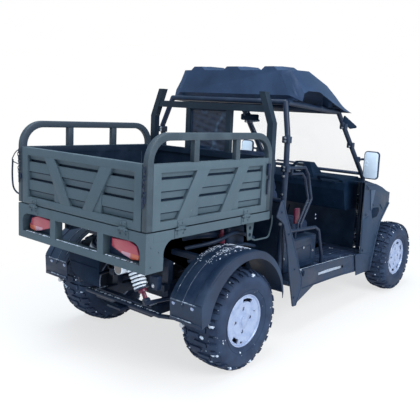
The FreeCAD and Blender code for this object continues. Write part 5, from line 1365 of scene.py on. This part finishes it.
# a paler facet: painted highlight where this facet catches more light
PALE_FACET = [(-0.758, 0.937), (-0.847, 0.937), (-0.791, 0.762)]
# a flat dark plate standing in for the vent's recess: painted shade
VENT_SHADE = [(-0.815, 0.760), (-0.840, 0.782), (-0.950, 0.775), (-0.967, 0.745), (-0.930, 0.700),
    (-0.840, 0.692)]
ARCH_LIP = [(-1.160, 0.795), (-1.046, 0.688), (-0.995, 0.640), (-0.947, 0.513), (-0.900, 0.358),
    (-0.863, 0.240)]
HOOD_SWELL = [(0.300, -0.930, 0.990), (0.240, -1.300, 0.910), (0.180, -1.440, 0.8555)]
SEALS = ([(0.498, -0.887, 0.996), (0.498, -1.195, 0.929), (0.498, -1.325, 0.881), (0.498, -1.325, 0.835),
    (0.498, -1.085, 0.898), (0.498, -0.887, 0.960)],
    [(0.498, -1.325, 0.881), (0.399, -1.555, 0.764), (0.399, -1.555, 0.744), (0.498, -1.325, 0.835)])
SLOT_SNOW = [(0.245, 0.300), (0.245, 0.452), (-0.410, 0.424), (-0.800, 0.396), (-0.800, 0.280)]
SKIRT_END = [(-0.560, 0.426), (-0.700, 0.412), (-0.846, 0.392), (-0.857, 0.340), (-0.857, 0.242),
    (-0.600, 0.246)]

panel_plastic = Finish("navy_moulded_plastic", PANEL_NAVY, 0.48, Specular_IOR_Level=0.28)
panel_plastic.weather((4.0, 6.0, 0.65), 0.40, 0.72, 0.5, PANEL_PALE, (0.42, 0.28),
    scratches=((60.0, 5.0, 0.75), 0.65, 0.70, 0.3))
panel_plastic.grain(*PANEL_GRAIN)
# the pale colour of that facet: a painted highlight
facet_highlight_paint = Finish("facet_painted_highlight", PANEL_PALE, 0.55)
facet_highlight_paint.grain(*PANEL_GRAIN)
lens_clear = Finish("headlamp_lens", (0.62, 0.70, 0.80), 0.12, 0.2, Coat_Weight=0.8)
lens_clear.bump(lens_clear.node("TexWave", {"wave_type": "BANDS"},
    {"Vector": lens_clear.place(), "Scale": 40.0}, output="Fac"), 0.3, 0.001)

eased("hood_moulding", "hood", panel_plastic, 0.004)
eased("front_fender_mouldings", "front_fenders", panel_plastic, 0.006)
eased("nose_moulding", "nose_grille", panel_plastic, 0.002)

body_trim, dark_trim, pale_trim, vent_shade_trim, seals, slot_snow, ends, opening_shades = (bmesh.new() for part in range(8))
for side in (1, -1):
    sunk = side * (CORNER_FACE - 0.002)
    for trim, outline, thick, edge in ((body_trim, UPPER_FACET, 0.008, 0.003),
            (pale_trim, PALE_FACET, 0.009, 0.002), (body_trim, LOWER_FACET, 0.006, 0.003),
            (vent_shade_trim, VENT_SHADE, 0.0036, 0.001)):
        add(trim, plate(sunk, outline, side * thick, edge))
    bolts(dark_trim, 0.0065, 0.006, side, *((side * 0.6330, y, z)
        for y, z in ((-0.700, 0.955), (-0.700, 0.740), (-0.690, 0.440), (-0.850, 0.360))))
    beading(body_trim, side * CORNER_FACE, ARCH_LIP, 0.0075, 14, 0.004)
    x = side * 0.400                                       # hood latch
    add(dark_trim, bar((x - 0.018, -1.420, 0.850), (x + 0.018, -1.350, 0.885), 0.005))
    for outline in SEALS:
        add(seals, board([(side * x, y, z) for x, y, z in outline], (-side * 0.005, 0, 0), 0.001))
    add(slot_snow, plate(side * 0.598, SLOT_SNOW, -side * 0.012, 0.004))
    add(ends, plate(side * 0.6265, SKIRT_END, side * 0.007, 0.002))
    # a dark oval disc where the skirt has an opening: painted shade
    oval = drum(0.017, 0.002, 28, 0.0005)
    bmesh.ops.scale(oval, verts=oval.verts[:], vec=(1.0, 0.75, 1.25))
    add(opening_shades, laid(oval, (side * 0.6245 - 0.001, 0.219, 0.428)))
for x in (-0.30, -0.10, 0.10, 0.30):                       # slots in the nose
    for z in (0.655, 0.690, 0.620):
        add(dark_trim, bar((x - 0.060, -1.5635, z), (x + 0.060, -1.5590, z + 0.017), 0.002))
add(body_trim, board([(-0.300, -0.930, 0.990)] + HOOD_SWELL + [(-x, y, z) for x, y, z in HOOD_SWELL[:0:-1]],
    (0, 0, 0.018), 0.006))
piece("body_facets", body_trim, panel_plastic, "chassis", sharp=40)
piece("hood_side_seals", seals, rubber, "chassis")
piece("body_vents_and_clips", dark_trim, plastic, "chassis")
piece("fender_vent_shade_plates", vent_shade_trim, cab_plastic, "chassis")
piece("fender_facets", pale_trim, facet_highlight_paint, "chassis")
piece("snow_behind_skirt_slots", slot_snow, ledge_snow, "chassis")
piece("skirt_front_ends", ends, plastic, "chassis")
piece("skirt_opening_shade_discs", opening_shades, cab_plastic, "chassis")
eased("headlamp_lenses", "headlights", lens_clear, 0.004)

# ---- Door mirrors: a dark moulded shell with round corners and a flat glass, on a bent arm clamped to each
# front pillar.
SHELL_SIDES = (0.568, 0.702)
# pale sky blue and mostly diffuse: a painted reflection of the sky, with a little real reflection
MIRROR_GLASS = (0.72, 0.85, 1.0)


def rounded(x0, x1, z0, z1, radius, y):
    """The corners of an upright rectangle with round corners."""
    return [(x + radius * math.cos(turn), y, z + radius * math.sin(turn))
        for x, z, first in ((x1 - radius, z1 - radius, 0), (x0 + radius, z1 - radius, 1),
        (x0 + radius, z0 + radius, 2), (x1 - radius, z0 + radius, 3))
        for turn in (math.pi / 2 * (first + step / 6) for step in range(7))]


mirror_glass = Finish("mirror_glass", MIRROR_GLASS, 0.16, 0.20)
mirror_glass.set({"Roughness": 0.12 + 0.25 * mirror_glass.noise(9.0, 4.0)})
low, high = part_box("door_mirrors")
y = (low.y + high.y) / 2
shells, faces = bmesh.new(), bmesh.new()
for side in (1, -1):
    x0, x1 = sorted(side * x for x in SHELL_SIDES)
    add(shells, board(rounded(x0, x1, 1.034, 1.261, 0.030, y - 0.012), (0, 0.022, 0), 0.006, 3))
    add(shells, bent_wire([(side * x, y - 0.004, z)
        for x, z in ((0.500, 1.172), (0.540, 1.190), (0.600, 1.190))], 0.0090, 0.020))
    x = side * 0.505
    add(shells, bar((x - 0.018, y - 0.026, 1.160), (x + 0.018, y + 0.020, 1.205), 0.006))
    add(faces, board(rounded(x0 + 0.008, x1 - 0.008, 1.042, 1.253, 0.024, y + 0.008), (0, 0.0038, 0), 0.0012))
piece("mirror_shells", shells, plastic, "chassis", ["door_mirrors"])
piece("mirror_faces", faces, mirror_glass, "chassis")

# ---- Roof: one moulded shell of navy black plastic with three raised bands running back, a turned-down rim
# and an arched notch over each door, standing on pads on the cage.
ROOF_DARK, ROOF_PALE = (0.015, 0.034, 0.078), (0.056, 0.104, 0.205)

roof_plastic = Finish("roof_plastic", ROOF_DARK, 0.56, Specular_IOR_Level=0.22)
roof_plastic.weather((3.0, 6.0, 0.6), 0.40, 0.72, 0.55, ROOF_PALE, (0.50, 0.25))
roof_plastic.grain(380.0, 2.0, 0.25, 0.0005)
eased("roof_shell", "roof", roof_plastic, 0.006)

# ---- Fittings under the bed: steel lashing brackets with bent loops, a red reservoir, a bright tail pipe
# end, a splash shield, an air box, hoses and cables clipped to the frame, and snow on the frame and tyres.
# pale bluish colour of the polished pipe end, not metallic: a painted sheen
POLISHED = (0.78, 0.84, 0.92)
BRACKET_FACE = 0.500
BRACKET = [(0.757, 0.852), (0.671, 0.852), (0.694, 0.722), (0.738, 0.722)]
BRACKET_LOOP = [(0.700, 0.735), (0.672, 0.712), (0.505, 0.708), (0.475, 0.790), (0.475, 0.852)]
SHIELD = ((0.060, 0.440), (0.060, 0.662), (0.355, 0.662), (0.355, 0.560), (0.320, 0.480), (0.200, 0.440))
RESERVOIR = (-0.400, 0.865)
BRAKE_HOSES = ([(0.470, 1.010, 0.330), (0.440, 1.080, 0.440), (0.330, 1.090, 0.520), (0.255, 1.020, 0.500)],
    [(0.470, -1.180, 0.330), (0.440, -1.120, 0.440), (0.330, -1.110, 0.520), (0.255, -1.160, 0.480)])
SHIFT_CABLE = [(-0.180, 0.420, 0.640), (-0.300, 0.560, 0.690), (-0.270, 0.760, 0.640),
    (-0.200, 0.900, 0.520), (-0.130, 0.960, 0.480)]
BREATHER = [(0.120, 0.420, 0.660), (0.240, 0.600, 0.700), (0.180, 0.860, 0.620), (0.060, 0.900, 0.500)]
AIR_HOSES = (  # route, radius
    ([(-0.330, 0.800, 0.740), (-0.360, 0.940, 0.770), (-0.240, 1.060, 0.750), (-0.120, 1.080, 0.640)], 0.026),
    ([(-0.420, 0.560, 0.700), (-0.430, 0.760, 0.775), (-0.440, 0.960, 0.735), (-0.330, 1.120, 0.700)], 0.012),
    ([(-0.420, 0.540, 0.640), (-0.440, 0.720, 0.690), (-0.450, 0.900, 0.665), (-0.320, 1.080, 0.610)], 0.010),
    ([(-0.150, 0.600, 0.760), (-0.180, 0.780, 0.810), (-0.120, 1.000, 0.800), (0.100, 1.120, 0.740)], 0.014))
TYRE_LUMPS = {"rear": (110, 0.0095), "front": (60, 0.0060)}  # how many, how much the largest grow

lashings, hole_shades, reds, fittings, brights, pipes = (bmesh.new() for part in range(6))
for side in (-1, 1):
    add(lashings, plate(side * BRACKET_FACE, BRACKET, side * 0.006, 0.001))
    # dark discs of the liner colour where the bracket has holes: painted shade seen through them
    for z in (0.756, 0.800):
        add(hole_shades, laid(drum(0.012, 0.0015, 24, 0.0004), (side * 0.506, 0.716, z),
            swing("Z", 0 if side > 0 else 180)))
    add(lashings, bent_wire([(side * 0.503, y, z) for y, z in BRACKET_LOOP], 0.006, 0.025))
piece("lashing_brackets", lashings, bed_paint, "tipping_bed", sharp=40)
piece("lashing_bracket_hole_shades", hole_shades, liner_and_painted_shade, "tipping_bed")

for bm, radius, length, sides, edge, z in ((reds, 0.022, 0.050, 28, 0.003, 0.708),
        (reds, 0.013, 0.040, 24, 0.003, 0.756), (fittings, 0.010, 0.045, 16, 0.001, 0.792)):
    peg(bm, (*RESERVOIR, z), "Z", radius, length, sides, edge)
add(fittings, bar((-0.425, 0.845, 0.690), (-0.228, 0.885, 0.700), 0.002))
pipe = spun([(0.0, 0.0310), (0.060, 0.0330), (0.063, 0.0325), (0.063, 0.0265), (0.020, 0.0240)], 40,
    closed=False)
peg(pipe, (0.057, 0, 0), "X", 0.0262, 0.003, 32)
polished = Finish("polished_pipe", POLISHED, 0.45)
polished.set({"Roughness": 0.22 + 0.25 * polished.noise(30.0)})
piece("tail_pipe_end", laid(pipe, (-0.110, 1.376, 0.588), swing("Z", 90)), polished, "chassis")
shield = board([(x, 1.437, z) for x, z in SHIELD], (0, 0.004, 0), 0.001)
for z in (0.540, 0.620):
    add(shield, bar((0.075, 1.4395, z), (0.340, 1.4440, z + 0.012), 0.002))
    add(shield, bar((0.225, 1.330, z - 0.015), (0.231, 1.438, z + 0.015), 0.001))
piece("splash_shield", shield, cab_plastic, "chassis")
for side in (1, -1):
    x = side * 0.320
    add(fittings, bar((x - 0.030, 1.320, 0.495), (x + 0.030, 1.360, 0.575), 0.004))
    bolts(brights, 0.008, 0.009, 0, (x, 1.359, 0.520))
    for hose in BRAKE_HOSES:
        add(fittings, bent_wire([(side * x, y, z) for x, y, z in hose], 0.0055, 0.045))
    peg(brights, (side * 0.560, 1.352, 0.356), "Y", 0.014, 0.020, 20, 0.002)
add(fittings, bent_wire(SHIFT_CABLE, 0.006, 0.060))
add(fittings, bent_wire(BREATHER, 0.008, 0.060))
add(fittings, bar((-0.180, 0.375, 0.365), (0.180, 0.385, 0.640), 0.004))
add(pipes, bar((-0.400, 0.620, 0.640), (-0.200, 0.800, 0.800), 0.025, 3))
for route, radius in AIR_HOSES:
    add(pipes, bent_wire(route, radius, 0.070))
piece("air_box_and_hoses", pipes, plastic, "chassis", sharp=40)
piece("under_bed_fittings", fittings, black_steel, "chassis", sharp=40)
piece("bright_pipe_and_bolts", brights, zinc, "chassis")
piece("red_reservoir", reds, red_coat, "chassis")

arm_runs = [((x, 1.240, 0.3625), (x, 1.300, 0.3625), 8) for x in (-0.230, 0.230)]
frame_snow = snow_line([((-0.330, 1.312, 0.3465), (0.330, 1.312, 0.3465), 44)] + arm_runs, 0.0050, 9)
piece("snow_on_frame", frame_snow, ledge_snow, "chassis", sharp=50)
for name, axle, side, centre in WHEELS:                    # snow caught between the lugs
    pick = random.Random(len(name) * 7 + side)
    caught = bmesh.new()
    count, growth = TYRE_LUMPS[axle]
    for i in range(count):
        turn = math.tau / LUG_PITCHES * (pick.randrange(LUG_PITCHES) + pick.uniform(0.32, 0.68))
        across, radius, slope = across_carcass(TYRE_SIZES[axle] / 2, pick.uniform(-0.72, 0.72))
        lump = snow_lump(pick, 0.7, 1.2)
        grow = 0.0032 + growth * pick.random() ** 3
        bmesh.ops.scale(lump, verts=lump.verts[:], vec=(grow * 1.5, grow * 1.2, grow))
        spot = (across, radius * math.sin(turn), radius * math.cos(turn))
        add(caught, laid(lump, Vector(spot) + centre, Matrix.Rotation(-turn, 3, "X")))
    piece(name + "_tyre_snow", caught, ledge_snow, name + "_wheel", sharp=60)
